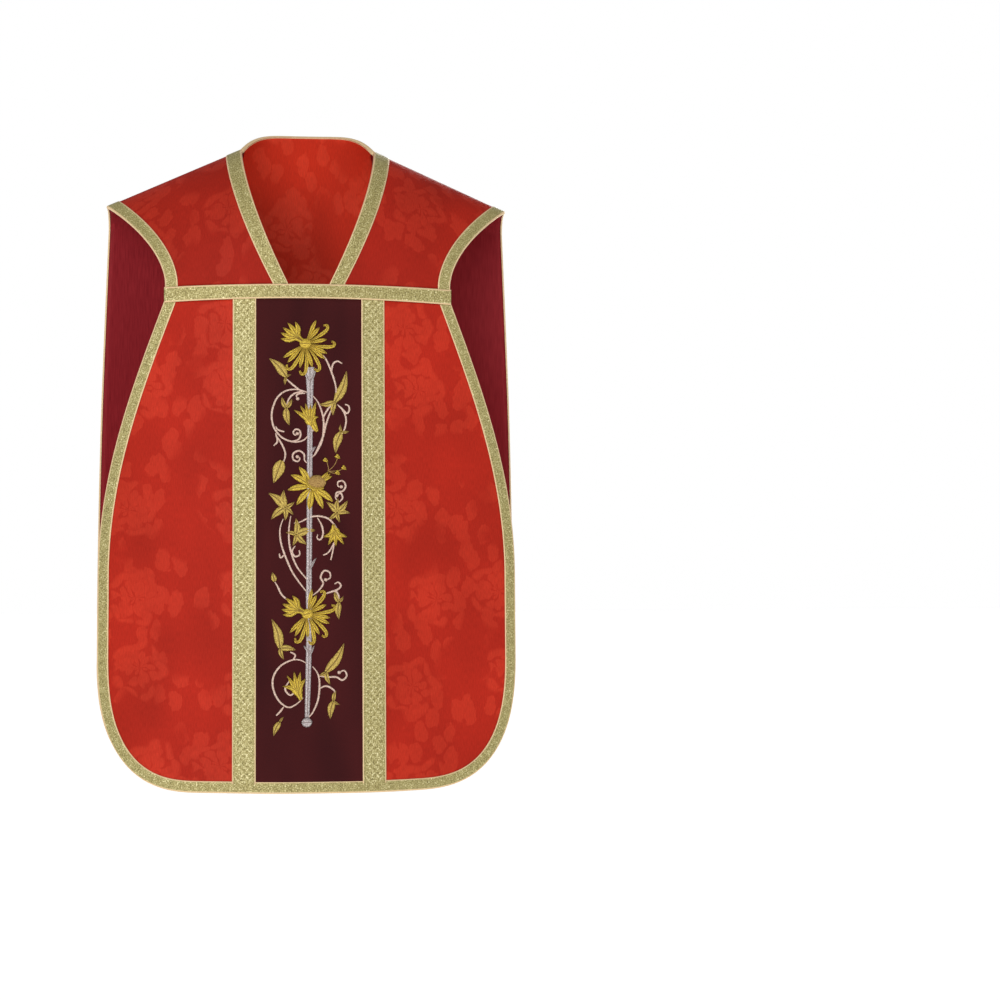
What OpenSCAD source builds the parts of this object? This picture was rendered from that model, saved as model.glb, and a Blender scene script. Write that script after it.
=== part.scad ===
// A Roman (fiddleback) chasuble, hanging on its shoulders: a front and a back of lined and stiffened
// damask, joined over the shoulders, with a column orphrey in front and a cross orphrey behind.
// Millimetres. +Z is up, the front faces -Y, and the origin is the middle of the neck opening at the
// height of the shoulder seam's neck points.

/* [Front] */
// Drop from the shoulder neck points to the front hem
front_l = 1046; // [860:1:1260]
// Widest width of the front
front_w = 675; // [560:1:800]
// Height above the hem where the front reaches its widest
front_wide_h = 341; // [270:1:420]
// Width across the chest, between the armholes
chest_w = 459; // [380:1:560]
// Drop from the neck points to the top of the chest band
chest_z = 235; // [195:1:290]
// Width of a rounded front corner
front_corner_w = 166; // [120:1:220]
// Height of a rounded front corner
front_corner_h = 217; // [150:1:265]
// How far the front stands ahead of the shoulder seam
front_d = 150; // [120:1:190]
// Plan radius of the front
front_r = 700; // [580:1:1200]
// Outward lean of the front skirt, in degrees
front_lean = 4.5; // [3.7:0.1:8]

/* [Back] */
// Drop from the shoulder neck points to the back hem
back_l = 1085; // [880:1:1290]
// Widest width of the back
back_w = 710; // [590:1:860]
// Width of a rounded back corner
back_corner_w = 190; // [150:1:230]
// Height of a rounded back corner
back_corner_h = 230; // [180:1:275]
// How far the back stands behind the shoulder seam
back_d = 110; // [85:1:150]
// Plan radius of the back
back_r = 1200; // [800:1:1500]
// Outward lean of the back skirt, in degrees
back_lean = 4.5; // [3.5:0.1:8]

/* [Shoulders] */
// Width from shoulder tip to shoulder tip
shoulder_w = 662; // [550:1:800]
// Drop from the neck points to a shoulder tip
tip_drop = 97; // [75:1:120]
// Drop from the neck points to the level where the back hangs straight
yoke_z = 128; // [121:1:134]

/* [Neck] */
// Width of the neck opening at the shoulder seam
neck_w = 220; // [180:1:268]
// Width of the neck opening at the chest band
neck_low_w = 66; // [50:1:90]
// Height of the nape edge above the shoulder neck points
nape_rise = 35; // [25:1:45]
// How far the nape edge lies behind the shoulder seam
nape_d = 62; // [50:1:76]

/* [Galloon] */
// Width of the broad galloon beside the orphreys
galloon_w = 37; // [30:1:46]
// Width of the narrow galloon along the edges
edge_w = 18; // [14:1:24]
// Width of the galloon round the neck
neck_band_w = 22; // [16:1:28]
// Height of the galloon across the chest
chest_band_h = 23; // [18:1:30]

/* [Orphrey] */
// Width of the dark ground of the front column
front_column_w = 168; // [136:1:204]
// Width of the dark ground of the back column
back_column_w = 172; // [140:1:208]
// Height of the dark ground of the cross arms
arm_h = 185; // [150:1:224]
// Gap from the level where the back hangs straight down to the arms' upper galloon
arm_gap = 10.5; // [4:0.5:30]
// Red cloth left between an arm's end and the edge galloon
arm_margin = 43; // [30:1:56]
// How far the medallion's top and bottom lobes stand beyond the cross arms
lobe_rise = 41; // [30:1:44]
// Radius of the top and bottom lobes
lobe_r = 53; // [48:1:60]
// How far the medallion's side lobes stand beyond the column
side_lobe_rise = 27; // [20:1:36]
// Radius of the side lobes
side_lobe_r = 69; // [56:1:80]
// Width of the medallion's cord border
border_w = 8.7; // [6:0.1:12]

/* [Embroidery] */
// Gap from the chest band to the front vine
vine_top_gap = 40; // [24:1:60]
// Gap from the front vine to the hem
vine_foot_gap = 118; // [90:1:150]
// Width of the vine's silver stem
stem_w = 9; // [6:0.1:13]
// Width of a curling tendril
tendril_w = 4.5; // [3:0.1:7]
// Radius of a vine flower
flower_r = 40; // [30:1:48]

/* [Cloth] */
// Thickness of the satin lining
lining_t = 0.8; // [0.5:0.1:1.5]
// Thickness of the stiff interlining
interlining_t = 2; // [1:0.1:3]
// Thickness of the damask
damask_t = 1.2; // [0.8:0.1:2]
// Thickness of the orphrey ground
orphrey_t = 1; // [0.6:0.1:2]
// Thickness of the galloon
galloon_t = 1.6; // [1:0.1:2.5]
// Height of the embroidery above the orphrey ground
relief_t = 2.6; // [1:0.1:4]
// Gap left at the two folds where a skirt swings
fold_gap = 0.4; // [0.3:0.1:1]

/* [Hidden] */

red = "#b82a1e";
wine = "#421a1b";
gold = "#c0b47c";
canvas_grey = "#c9bfa8";
satin = "#8a1f24";
thread = "#c9a030";
silver = "#b8a8a8";
pale = "#e6c9ba";

// Depths of the layers, measured outwards from the damask's face
under_damask = -damask_t;
under_interlining = under_damask - interlining_t;
under_lining = under_interlining - lining_t;
column_top = orphrey_t;
relief_top = orphrey_t + relief_t;

// Levels of the two folds, and the outermost faces that they turn on
front_fold_z = chest_z + chest_band_h;
front_wide_z = front_l - front_wide_h;
arm_z = yoke_z + arm_gap + galloon_w + arm_h / 2;
back_fold_z = arm_z + arm_h / 2 + galloon_w + 4;
front_fold_d = front_d + relief_top;
back_fold_d = back_d + relief_top;

far = 2 * (front_l + back_l);
chord_steps = 256;
petal_steps = 32;

function mix(a, b, t) = a + (b - a) * t;
function smooth(t) = let (s = min(1, max(0, t))) s * s * (3 - 2 * s);
function unit(v) = v / norm(v);
function arc_sag(r, x) = r - sqrt(r * r - x * x);
function front_face(x) = front_d - arc_sag(front_r, x);
function back_face(x) = back_d - arc_sag(back_r, x);

// ---- Outlines, drawn as seen from the front: x across, y is the height ----

side_steps = 14;
corner_steps = 12;
corner_squareness = 2.6;
function front_half(z) =
    let (t = (-z - front_fold_z) / (front_wide_z - front_fold_z))
    mix(chest_w, front_w, sin(90 * min(1, max(0, t)))) / 2;
function back_half(z) =
    let (t = (-z - tip_drop) / (0.8 * back_l))
    mix(shoulder_w, back_w, sin(90 * min(1, max(0, t)))) / 2;
// A rounded corner from the side (t = 0) to the hem (t = 1)
function corner(w, h, half, hem, t) = [
    half - w * (1 - pow(cos(90 * t), 2 / corner_squareness)),
    -hem + h * (1 - pow(sin(90 * t), 2 / corner_squareness))
];
function front_side() = [
    [chest_w / 2, -front_fold_z + 2 * edge_w + 8],
    for (i = [0 : side_steps])
        let (z = -mix(front_fold_z, front_wide_z, i / side_steps)) [front_half(z), z],
    for (i = [0 : corner_steps])
        corner(front_corner_w, front_corner_h, front_w / 2, front_l, i / corner_steps)
];
function back_side() = [
    for (i = [0 : side_steps])
        let (z = -mix(yoke_z, back_l - back_corner_h, i / side_steps)) [back_half(z), z],
    for (i = [1 : corner_steps])
        corner(back_corner_w, back_corner_h, back_w / 2, back_l, i / corner_steps)
];
function mirrored(side) = [for (i = [len(side) - 1 : -1 : 0]) [-side[i].x, side[i].y]];
module front_outline() { polygon(concat(front_side(), mirrored(front_side()))); }
module back_outline() { polygon(concat(back_side(), mirrored(back_side()))); }
module band(x0, x1, z0, z1) { translate([x0, -z1]) square([x1 - x0, z1 - z0]); }

// ---- Skins: an outline laid on the hanging curve, between two depths ----

module on_front(near, top) {
    intersection() {
        rotate([90, 0, 0]) linear_extrude(2 * front_d) children();
        translate([0, front_r - front_d, -far / 2]) difference() {
            cylinder(r = front_r + top, h = far, $fn = chord_steps);
            translate([0, 0, -1]) cylinder(r = front_r + near, h = far + 2, $fn = chord_steps);
        }
    }
}
module on_back(near, top) {
    intersection() {
        rotate([90, 0, 0]) translate([0, 0, -2 * back_d]) linear_extrude(2 * back_d) children();
        translate([0, back_d - back_r, -far / 2]) difference() {
            cylinder(r = back_r + top, h = far, $fn = chord_steps);
            translate([0, 0, -1]) cylinder(r = back_r + near, h = far + 2, $fn = chord_steps);
        }
    }
}
// A skirt leans out from its fold and is cut level there
module front_lean_out(near, top) {
    difference() {
        translate([0, -front_fold_d, -front_fold_z]) rotate([-front_lean, 0, 0])
            translate([0, front_fold_d, front_fold_z]) on_front(near, top) children();
        translate([-front_w, -2 * front_d, -front_fold_z - fold_gap])
            cube([2 * front_w, 4 * front_d, front_l]);
    }
}
module back_lean_out(near, top) {
    difference() {
        translate([0, back_fold_d, -back_fold_z]) rotate([back_lean, 0, 0])
            translate([0, -back_fold_d, back_fold_z]) on_back(near, top) children();
        translate([-back_w, -2 * back_d, -back_fold_z - fold_gap])
            cube([2 * back_w, 4 * back_d, back_l]);
    }
}

// ---- Shoulders and yoke: sheets swept over the shoulders ----

rows = 9;
neck_gather = 1.5;
arm_gather = 1.8;
shoulder_cells = 8;
function neck_x(v) =
    let (drop = 1 - cos(90 * v)) mix(neck_low_w, neck_w, 1 - pow(drop, neck_gather)) / 2;
function arm_x(v) = mix(chest_w, shoulder_w, pow(cos(90 * v), arm_gather)) / 2;
// A point of the right front shoulder: s runs from the neck to the arm, v from the seam to the chest
function shoulder_point(s, v) =
    let (x = mix(neck_x(v), arm_x(v), s))
    [x, -front_face(x) * sin(90 * v), -tip_drop * s * cos(90 * v) - chest_z * (1 - cos(90 * v))];
function shoulder_station(i, v) =
    let (w = arm_x(v) - neck_x(v), a = neck_band_w / w, b = 1 - 1.15 * edge_w / w)
    i == 0 ? 0 : i == shoulder_cells ? 1 : mix(a, b, (i - 1) / (shoulder_cells - 2));
step = 0.001;
function shoulder_node(i, v, depth) =
    let (
        s = shoulder_station(i, v),
        p = shoulder_point(s, v),
        across = shoulder_point(s + step, v) - p,
        down = p - shoulder_point(s, v - step)
    ) p + depth * unit(cross(down, across));

// The back yoke: x across, v from the seam or the nape edge (0) to the level where it hangs straight
nape_steep = 55;
function nape_share(x) = 1 - pow(min(1, 2 * abs(x) / neck_w), 3.5);
function yoke_point(x, v) =
    let (
        w = nape_share(x),
        seam_z = -tip_drop * (abs(x) - neck_w / 2) / (shoulder_w / 2 - neck_w / 2),
        y0 = nape_d * w,
        z0 = mix(seam_z, nape_rise, w),
        a0 = nape_steep * w,
        a = mix(a0, 90, v)
    ) [
        x,
        mix(y0, back_face(x), (sin(a) - sin(a0)) / (1 - sin(a0))),
        mix(z0, -yoke_z, (cos(a0) - cos(a)) / cos(a0))
    ];
column_half = back_column_w / 2;
galloon_half = column_half + galloon_w;
yoke_half = back_half(-yoke_z);
seam_half = shoulder_w / 2;
yoke_tops = [
    0, neck_w * 0.1, neck_w * 0.2, neck_w * 0.29, neck_w * 0.38, neck_w / 2, neck_w / 2 + neck_band_w,
    mix(neck_w / 2 + neck_band_w, seam_half - edge_w, 0.35),
    mix(neck_w / 2 + neck_band_w, seam_half - edge_w, 0.7), seam_half - edge_w, seam_half
];
yoke_feet = [
    0, column_half * 0.26, column_half * 0.52, column_half * 0.76, column_half, galloon_half,
    galloon_half + neck_band_w, mix(galloon_half + neck_band_w, yoke_half - edge_w, 0.35),
    mix(galloon_half + neck_band_w, yoke_half - edge_w, 0.7), yoke_half - edge_w, yoke_half
];
yoke_cells = len(yoke_tops) - 1;
neck_rows = 1;
function yoke_x(i, v) = sign(i) * mix(yoke_tops[abs(i)], yoke_feet[abs(i)], smooth(v));
function yoke_node(i, v, depth) =
    let (
        x = yoke_x(i, v),
        p = yoke_point(x, v),
        across = yoke_point(x + step, v) - yoke_point(x - step, v),
        down = v < 0.5 ? yoke_point(x, v + step) - p : p - yoke_point(x, v - step)
    ) p + depth * unit(cross(across, down));

// A closed sheet from rows of points at two depths; outer is a list of rows, and so is inner
module sheet(outer, inner) {
    n = len(outer);
    m = len(outer[0]);
    points = concat([for (row = outer) each row], [for (row = inner) each row]);
    under = n * m;
    function cell(a, b, c, d) = [[a, b, c], [a, c, d]];
    faces = [
        for (j = [0 : n - 2]) for (i = [0 : m - 2])
            each cell(j * m + i, j * m + i + 1, (j + 1) * m + i + 1, (j + 1) * m + i),
        for (j = [0 : n - 2]) for (i = [0 : m - 2]) let (a = under + j * m + i)
            each [[a, a + m + 1, a + 1], [a, a + m, a + m + 1]],
        for (i = [0 : m - 2]) each cell(under + i, under + i + 1, i + 1, i),
        for (i = [0 : m - 2]) let (k = (n - 1) * m + i) each cell(k + 1, under + k + 1, under + k, k),
        for (j = [0 : n - 2]) let (k = j * m) each cell(under + k, k, k + m, under + k + m),
        for (j = [0 : n - 2]) let (k = j * m + m - 1) each cell(under + k, under + k + m, k + m, k)
    ];
    polyhedron(points = points, faces = faces);
}
function row_v(j) = j == 0 ? 0 : mix(neck_band_w / 165, 1, (j - 1) / (rows - 1));
module shoulder_sheet(i0, i1, near, top) {
    function layer(depth) =
        [for (j = [0 : rows]) [for (i = [i0 : i1]) shoulder_node(i, max(step, row_v(j)), depth)]];
    sheet(layer(top), layer(near));
}
module yoke_sheet(i0, i1, j0, j1, near, top) {
    function layer(depth) = [for (j = [j1 : -1 : j0]) [for (i = [i0 : i1]) yoke_node(i, row_v(j), depth)]];
    sheet(layer(top), layer(near));
}
module left_side() { mirror([1, 0, 0]) children(); }

module shoulder_right() { color(red) shoulder_sheet(0, shoulder_cells, under_damask, 0); }
module shoulder_left() { left_side() shoulder_right(); }
module shoulder_interlining_right() {
    color(canvas_grey) shoulder_sheet(0, shoulder_cells, under_interlining, under_damask);
}
module shoulder_interlining_left() { left_side() shoulder_interlining_right(); }
module shoulder_lining_right() {
    color(satin) shoulder_sheet(0, shoulder_cells, under_lining, under_interlining);
}
module shoulder_lining_left() { left_side() shoulder_lining_right(); }
module armhole_band_right() {
    color(gold) shoulder_sheet(shoulder_cells - 1, shoulder_cells, 0, galloon_t);
}
module armhole_band_left() { left_side() armhole_band_right(); }
module neck_band_right() { color(gold) shoulder_sheet(0, 1, 0, galloon_t); }
module neck_band_left() { left_side() neck_band_right(); }

neck_cell = 6;
module neck_band_back() { color(gold) yoke_sheet(-neck_cell, neck_cell, 0, neck_rows, 0, galloon_t); }
facing_cell = 5;
module neck_facing() {
    color(red) yoke_sheet(-facing_cell, facing_cell, 0, rows, under_lining - lining_t, under_lining);
}
module back_yoke() { color(red) yoke_sheet(-yoke_cells, yoke_cells, 0, rows, under_damask, 0); }
module back_yoke_interlining() {
    color(canvas_grey) yoke_sheet(-yoke_cells, yoke_cells, 0, rows, under_interlining, under_damask);
}
module back_yoke_lining() {
    color(satin) yoke_sheet(-yoke_cells, yoke_cells, 0, rows, under_lining, under_interlining);
}
module yoke_edge_right() { color(gold) yoke_sheet(yoke_cells - 1, yoke_cells, 0, rows, 0, galloon_t); }
module yoke_edge_left() { color(gold) yoke_sheet(-yoke_cells, 1 - yoke_cells, 0, rows, 0, galloon_t); }
column_cell = 4;
module yoke_column() {
    color(wine) yoke_sheet(-column_cell, column_cell, neck_rows, rows, 0, column_top);
}
module yoke_galloon_right() {
    color(gold) yoke_sheet(column_cell, column_cell + 1, neck_rows, rows, 0, galloon_t);
}
module yoke_galloon_left() {
    color(gold) yoke_sheet(-column_cell - 1, -column_cell, neck_rows, rows, 0, galloon_t);
}
module yoke_spray() { color(thread) yoke_sheet(-3, 3, 3, rows - 1, column_top, relief_top); }

module chest_band() {
    color(gold) on_front(0, galloon_t) band(-chest_w / 2, chest_w / 2, chest_z, front_fold_z);
}
module chest_backing() {
    color(satin) on_front(under_lining, 0) band(-chest_w / 2, chest_w / 2, chest_z, front_fold_z);
}

// ---- The straight back behind the shoulder blades, with the cross ----

module middle_outline() {
    intersection() {
        back_outline();
        band(-back_w, back_w, yoke_z, back_fold_z);
    }
}
module middle_edge_outline() {
    difference() {
        middle_outline();
        polygon([
            for (z = [-yoke_z + 1, -back_fold_z - 1]) [back_half(z) - edge_w, z],
            for (z = [-back_fold_z - 1, -yoke_z + 1]) [edge_w - back_half(z), z]
        ]);
    }
}
module back_middle() { color(red) on_back(under_damask, 0) middle_outline(); }
module back_middle_interlining() {
    color(canvas_grey) on_back(under_interlining, under_damask) middle_outline();
}
module back_middle_lining() { color(satin) on_back(under_lining, under_interlining) middle_outline(); }
module middle_edge_right() {
    color(gold) on_back(0, galloon_t) intersection() {
        middle_edge_outline();
        band(0, back_w, 0, back_l);
    }
}
module middle_edge_left() { left_side() middle_edge_right(); }
module back_facing() {
    color(red) on_back(under_lining - lining_t, under_lining)
        band(-galloon_half, galloon_half, yoke_z, chest_z + 5);
}

arm_top = arm_z - arm_h / 2;
arm_foot = arm_z + arm_h / 2;
arm_end = back_half(-arm_z) - edge_w - arm_margin;
arm_inner_end = arm_end - galloon_w;
module arm_galloon_outline() {
    difference() {
        union() {
            band(column_half, arm_end, arm_top - galloon_w, arm_foot + galloon_w);
            band(column_half, galloon_half, yoke_z, back_fold_z);
        }
        band(0, arm_inner_end, arm_top, arm_foot);
    }
}
module arm_galloon_right() { color(gold) on_back(0, galloon_t) arm_galloon_outline(); }
module arm_galloon_left() { left_side() arm_galloon_right(); }
module cross_column() {
    color(wine) on_back(0, column_top) band(-column_half, column_half, yoke_z, back_fold_z);
}
module cross_arm_right() {
    color(wine) on_back(0, column_top) band(column_half, arm_inner_end, arm_top, arm_foot);
}
module cross_arm_left() { left_side() cross_arm_right(); }

medallion_gap = 2;
medallion_half = column_half + side_lobe_rise;
module medallion_outline() {
    translate([0, -arm_z]) union() {
        square([back_column_w - 2 * medallion_gap, arm_h], center = true);
        for (s = [-1, 1]) {
            translate([0, s * (arm_h / 2 + lobe_rise - lobe_r)]) circle(lobe_r, $fn = 64);
            translate([s * (medallion_half - side_lobe_r), 0]) circle(side_lobe_r, $fn = 64);
        }
    }
}
module medallion_inside() { offset(delta = -border_w) medallion_outline(); }
module medallion_border() {
    color(thread) on_back(column_top, relief_top) difference() {
        medallion_outline();
        medallion_inside();
    }
}
module medallion_ground() { color(satin) on_back(column_top, column_top + orphrey_t) medallion_inside(); }
emblem_arm = 52;
emblem_w = 13;
module medallion_emblem() {
    color(pale) on_back(column_top + orphrey_t, relief_top + orphrey_t) translate([0, -arm_z]) union() {
        square([2 * emblem_arm, emblem_w], center = true);
        square([emblem_w, 2.4 * emblem_arm], center = true);
        for (a = [0 : 90 : 270]) rotate(a) translate([emblem_arm, 0]) circle(emblem_w, $fn = petal_steps);
    }
}

// ---- Embroidery: each vine repeats flowers, rings, leaves and buds down a silver stem ----

module leaf(length, width) {
    r = (length * length / 4 + width * width / 4) / width;
    intersection() {
        translate([length / 2, width / 2 - r]) circle(r, $fn = 96);
        translate([length / 2, r - width / 2]) circle(r, $fn = 96);
    }
}
module flower(r) {
    circle(0.45 * r, $fn = petal_steps);
    for (a = [0 : 45 : 315]) rotate(a) translate([0.3 * r, 0]) leaf(0.7 * r, 0.3 * r);
}
module ring(r) {
    difference() {
        circle(r, $fn = 72);
        circle(r - tendril_w, $fn = 72);
    }
}
// Places along a vine: [across, share of the vine's length, size or direction]
vine_flowers = [[-5, 0.05], [1, 0.42], [-5, 0.74]];
vine_rings = [[-24, 0.24, 38], [36, 0.45, 17], [-23, 0.9, 36], [40, 0.2, 12], [36, 0.645, 12]];
vine_leaves = [
    [42, 0.15, 230], [-36, 0.13, 115], [44, 0.26, 258], [-42, 0.345, 285], [-34, 0.5, 265],
    [42, 0.52, 275], [-38, 0.63, 300], [44, 0.66, 262], [-46, 0.78, 285], [46, 0.8, 240], [38, 0.93, 255]
];
leaf_l = 42;
leaf_w = 17;
module vine_flowers(z0, l) {
    for (f = vine_flowers) translate([f.x, -z0 - f.y * l]) flower(flower_r);
}
module vine_clear(z0, l) {
    difference() {
        children();
        vine_flowers(z0, l);
    }
}
module vine_stem_shape(z0, l) {
    vine_clear(z0, l) union() {
        band(-stem_w / 2, stem_w / 2, z0 + 0.05 * l, z0 + 0.97 * l);
        translate([0, -z0 - 0.98 * l]) circle(stem_w, $fn = petal_steps);
    }
}
module vine_tendrils_shape(z0, l) {
    difference() {
        vine_clear(z0, l) for (r = vine_rings) translate([r.x, -z0 - r.y * l]) ring(r.z);
        vine_stem_shape(z0, l);
    }
}
module vine_leaves_shape(z0, l) {
    difference() {
        vine_clear(z0, l) for (f = vine_leaves)
            translate([f.x, -z0 - f.y * l]) rotate(f.z) leaf(leaf_l, leaf_w);
        vine_tendrils_shape(z0, l);
        vine_stem_shape(z0, l);
    }
}
front_vine_z = front_fold_z + vine_top_gap;
front_vine_l = front_l - vine_foot_gap - front_vine_z;
back_vine_z = back_fold_z + vine_top_gap / 2;
back_vine_l = back_l - vine_foot_gap - back_vine_z;
module sprig_shape() {
    band(column_half + 18, column_half + 76, arm_z - stem_w, arm_z);
    translate([column_half + 96, -arm_z]) flower(flower_r);
    for (s = [-1, 1])
        translate([column_half + 30, s * arm_h / 4 - arm_z]) rotate(s * 20) leaf(1.4 * leaf_l, leaf_w);
}
module arm_sprig_right() {
    color(thread) on_back(column_top, relief_top) intersection() {
        sprig_shape();
        band(medallion_half + 2, arm_inner_end - 2, arm_top + 2, arm_foot - 2);
    }
}
module arm_sprig_left() { left_side() arm_sprig_right(); }

// ---- The front skirt ----

module front_edge_outline() {
    difference() {
        front_outline();
        offset(delta = -edge_w) front_outline();
    }
}
module front_skirt() { color(red) front_lean_out(under_damask, 0) front_outline(); }
module front_interlining() {
    color(canvas_grey) front_lean_out(under_interlining, under_damask) front_outline();
}
module front_lining() { color(satin) front_lean_out(under_lining, under_interlining) front_outline(); }
module front_edge() { color(gold) front_lean_out(0, galloon_t) front_edge_outline(); }
front_column_half = front_column_w / 2;
front_column_foot = front_l - edge_w;
module front_column() {
    color(wine) front_lean_out(0, column_top)
        band(-front_column_half, front_column_half, 0, front_column_foot);
}
module front_galloon_right() {
    color(gold) front_lean_out(0, galloon_t)
        band(front_column_half, front_column_half + galloon_w, 0, front_column_foot);
}
module front_galloon_left() { left_side() front_galloon_right(); }
module on_front_column() { front_lean_out(column_top, relief_top) children(); }
module front_vine_stem() {
    color(silver) on_front_column() vine_stem_shape(front_vine_z, front_vine_l);
}
module front_vine_tendrils() {
    color(pale) on_front_column() vine_tendrils_shape(front_vine_z, front_vine_l);
}
module front_vine_leaves() {
    color(thread) on_front_column() vine_leaves_shape(front_vine_z, front_vine_l);
}
module front_vine_flowers() {
    color(thread) on_front_column() vine_flowers(front_vine_z, front_vine_l);
}

// ---- The back skirt ----

module back_edge_outline() {
    difference() {
        back_outline();
        offset(delta = -edge_w) back_outline();
    }
}
module back_skirt() { color(red) back_lean_out(under_damask, 0) back_outline(); }
module back_interlining() {
    color(canvas_grey) back_lean_out(under_interlining, under_damask) back_outline();
}
module back_lining() { color(satin) back_lean_out(under_lining, under_interlining) back_outline(); }
module back_edge() { color(gold) back_lean_out(0, galloon_t) back_edge_outline(); }
back_column_foot = back_l - edge_w;
module back_column() {
    color(wine) back_lean_out(0, column_top)
        band(-column_half, column_half, yoke_z + edge_w, back_column_foot);
}
module back_galloon_right() {
    color(gold) back_lean_out(0, galloon_t)
        band(column_half, galloon_half, yoke_z + edge_w, back_column_foot);
}
module back_galloon_left() { left_side() back_galloon_right(); }
module on_back_column() { back_lean_out(column_top, relief_top) children(); }
module back_vine_stem() {
    color(silver) on_back_column() vine_stem_shape(back_vine_z, back_vine_l);
}
module back_vine_tendrils() {
    color(pale) on_back_column() vine_tendrils_shape(back_vine_z, back_vine_l);
}
module back_vine_leaves() {
    color(thread) on_back_column() vine_leaves_shape(back_vine_z, back_vine_l);
}
module back_vine_flowers() {
    color(thread) on_back_column() vine_flowers(back_vine_z, back_vine_l);
}

shoulder_left();
shoulder_right();
shoulder_interlining_left();
shoulder_interlining_right();
shoulder_lining_left();
shoulder_lining_right();
armhole_band_left();
armhole_band_right();
neck_band_left();
neck_band_right();
neck_band_back();
neck_facing();
back_facing();
back_yoke();
back_yoke_interlining();
back_yoke_lining();
yoke_edge_left();
yoke_edge_right();
yoke_column();
yoke_galloon_left();
yoke_galloon_right();
yoke_spray();
chest_band();
chest_backing();
back_middle();
back_middle_interlining();
back_middle_lining();
middle_edge_left();
middle_edge_right();
cross_column();
cross_arm_left();
cross_arm_right();
arm_galloon_left();
arm_galloon_right();
arm_sprig_left();
arm_sprig_right();
medallion_ground();
medallion_border();
medallion_emblem();
front_skirt();
front_interlining();
front_lining();
front_edge();
front_column();
front_galloon_left();
front_galloon_right();
front_vine_stem();
front_vine_tendrils();
front_vine_leaves();
front_vine_flowers();
back_skirt();
back_interlining();
back_lining();
back_edge();
back_column();
back_galloon_left();
back_galloon_right();
back_vine_stem();
back_vine_tendrils();
back_vine_leaves();
back_vine_flowers();
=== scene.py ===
"""A Roman chasuble of red damask, standing out from its shoulders as it hangs on a wearer.

Sizes below are in millimetres. A place on the front's cloth is (across, height), seen from in front,
and a place on the back's cloth is (across, height), seen from behind.
"""
import math

import bmesh
import bpy
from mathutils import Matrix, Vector


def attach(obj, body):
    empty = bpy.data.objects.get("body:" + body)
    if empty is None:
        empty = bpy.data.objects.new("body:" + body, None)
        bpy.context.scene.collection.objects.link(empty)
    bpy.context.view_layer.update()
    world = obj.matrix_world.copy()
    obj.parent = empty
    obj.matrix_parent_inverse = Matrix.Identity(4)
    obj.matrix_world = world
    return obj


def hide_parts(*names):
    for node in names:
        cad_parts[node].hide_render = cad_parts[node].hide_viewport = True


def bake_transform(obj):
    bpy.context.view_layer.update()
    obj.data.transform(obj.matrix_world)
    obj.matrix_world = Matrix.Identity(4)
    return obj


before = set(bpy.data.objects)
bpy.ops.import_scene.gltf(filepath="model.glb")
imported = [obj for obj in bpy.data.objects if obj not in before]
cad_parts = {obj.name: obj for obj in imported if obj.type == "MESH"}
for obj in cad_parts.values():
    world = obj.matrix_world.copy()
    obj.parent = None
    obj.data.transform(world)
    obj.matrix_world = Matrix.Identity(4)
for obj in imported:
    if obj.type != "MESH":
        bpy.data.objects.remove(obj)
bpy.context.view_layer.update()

MM = 0.001

# ---- Driving sizes, the same as the part's own ----

FRONT_L = 1046
FRONT_W = 675
FRONT_WIDE_Z = 705
CHEST_W = 459
CHEST_Z = 235
FRONT_CORNER = (166, 217)
FRONT_D = 150
FRONT_R = 700
LEAN = math.radians(4.5)
BACK_L = 1085
BACK_W = 710
BACK_CORNER = (190, 230)
BACK_D = 110
BACK_R = 1200
SHOULDER_W = 662
TIP_DROP = 97
YOKE_Z = 128
NECK_W = 220
NECK_LOW_W = 66
NAPE_RISE = 35
NAPE_D = 62
GALLOON_W = 37
EDGE_W = 18
NECK_BAND_W = 22
CHEST_BAND_H = 23
FRONT_COLUMN_W = 168
BACK_COLUMN_W = 172
ARM_H = 185
ARM_Z = 268
ARM_MARGIN = 43
LOBE_RISE = 41
LOBE_R = 53
SIDE_LOBE_RISE = 27
SIDE_LOBE_R = 69

DAMASK_T = 1.2
INTERLINING_T = 2.0
LINING_T = 0.8
CLOTH_T = DAMASK_T + INTERLINING_T + LINING_T
COLUMN_LIFT = 1.0
COLUMN_T = 0.9
GALLOON_LIFT = 1.2
GALLOON_T = 1.2
FRONT_FOLD = CHEST_Z + CHEST_BAND_H
BACK_FOLD = ARM_Z + ARM_H / 2 + GALLOON_W + 4
BACK_COLUMN_HALF = BACK_COLUMN_W / 2
FRONT_COLUMN_HALF = FRONT_COLUMN_W / 2
GALLOON_HALF = BACK_COLUMN_HALF + GALLOON_W
YOKE_COLUMN_TOP = NECK_W * 0.38
# The cloth runs 165 mm over the yoke while it falls YOKE_Z, so the neck braid covers this much height
NECK_BAND_UP = YOKE_Z * NECK_BAND_W / 165
CORNER_SQUARENESS = 2.6
NAPE_SQUARENESS = 3.5
NAPE_STEEP = math.radians(55)
SOFT_LEAN = 22
FLUTE_DEPTH = 3.2
FLUTES = (62, 29)
# A shoulder goes on a little below the chest line, at 300 mm for each 1 of its own height
SHOULDER_DROP = 300
SHOULDER_FOOT = -1.02
SHOULDER_TOP = -0.001
STEP = 0.01

# ---- The cloth's two hanging faces ----


def mix(a, b, t):
    return a + (b - a) * t


def smooth(t):
    t = min(1, max(0, t))
    return t * t * (3 - 2 * t)


def sag(radius, across):
    """How far a face curves away from its foremost line."""
    return radius - math.sqrt(radius * radius - across * across)


def lean_out(drop):
    """How far a skirt stands out at a drop below its fold; it starts to lean softly."""
    return math.sin(LEAN) * (drop - SOFT_LEAN * (1 - math.exp(-drop / SOFT_LEAN)))


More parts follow.
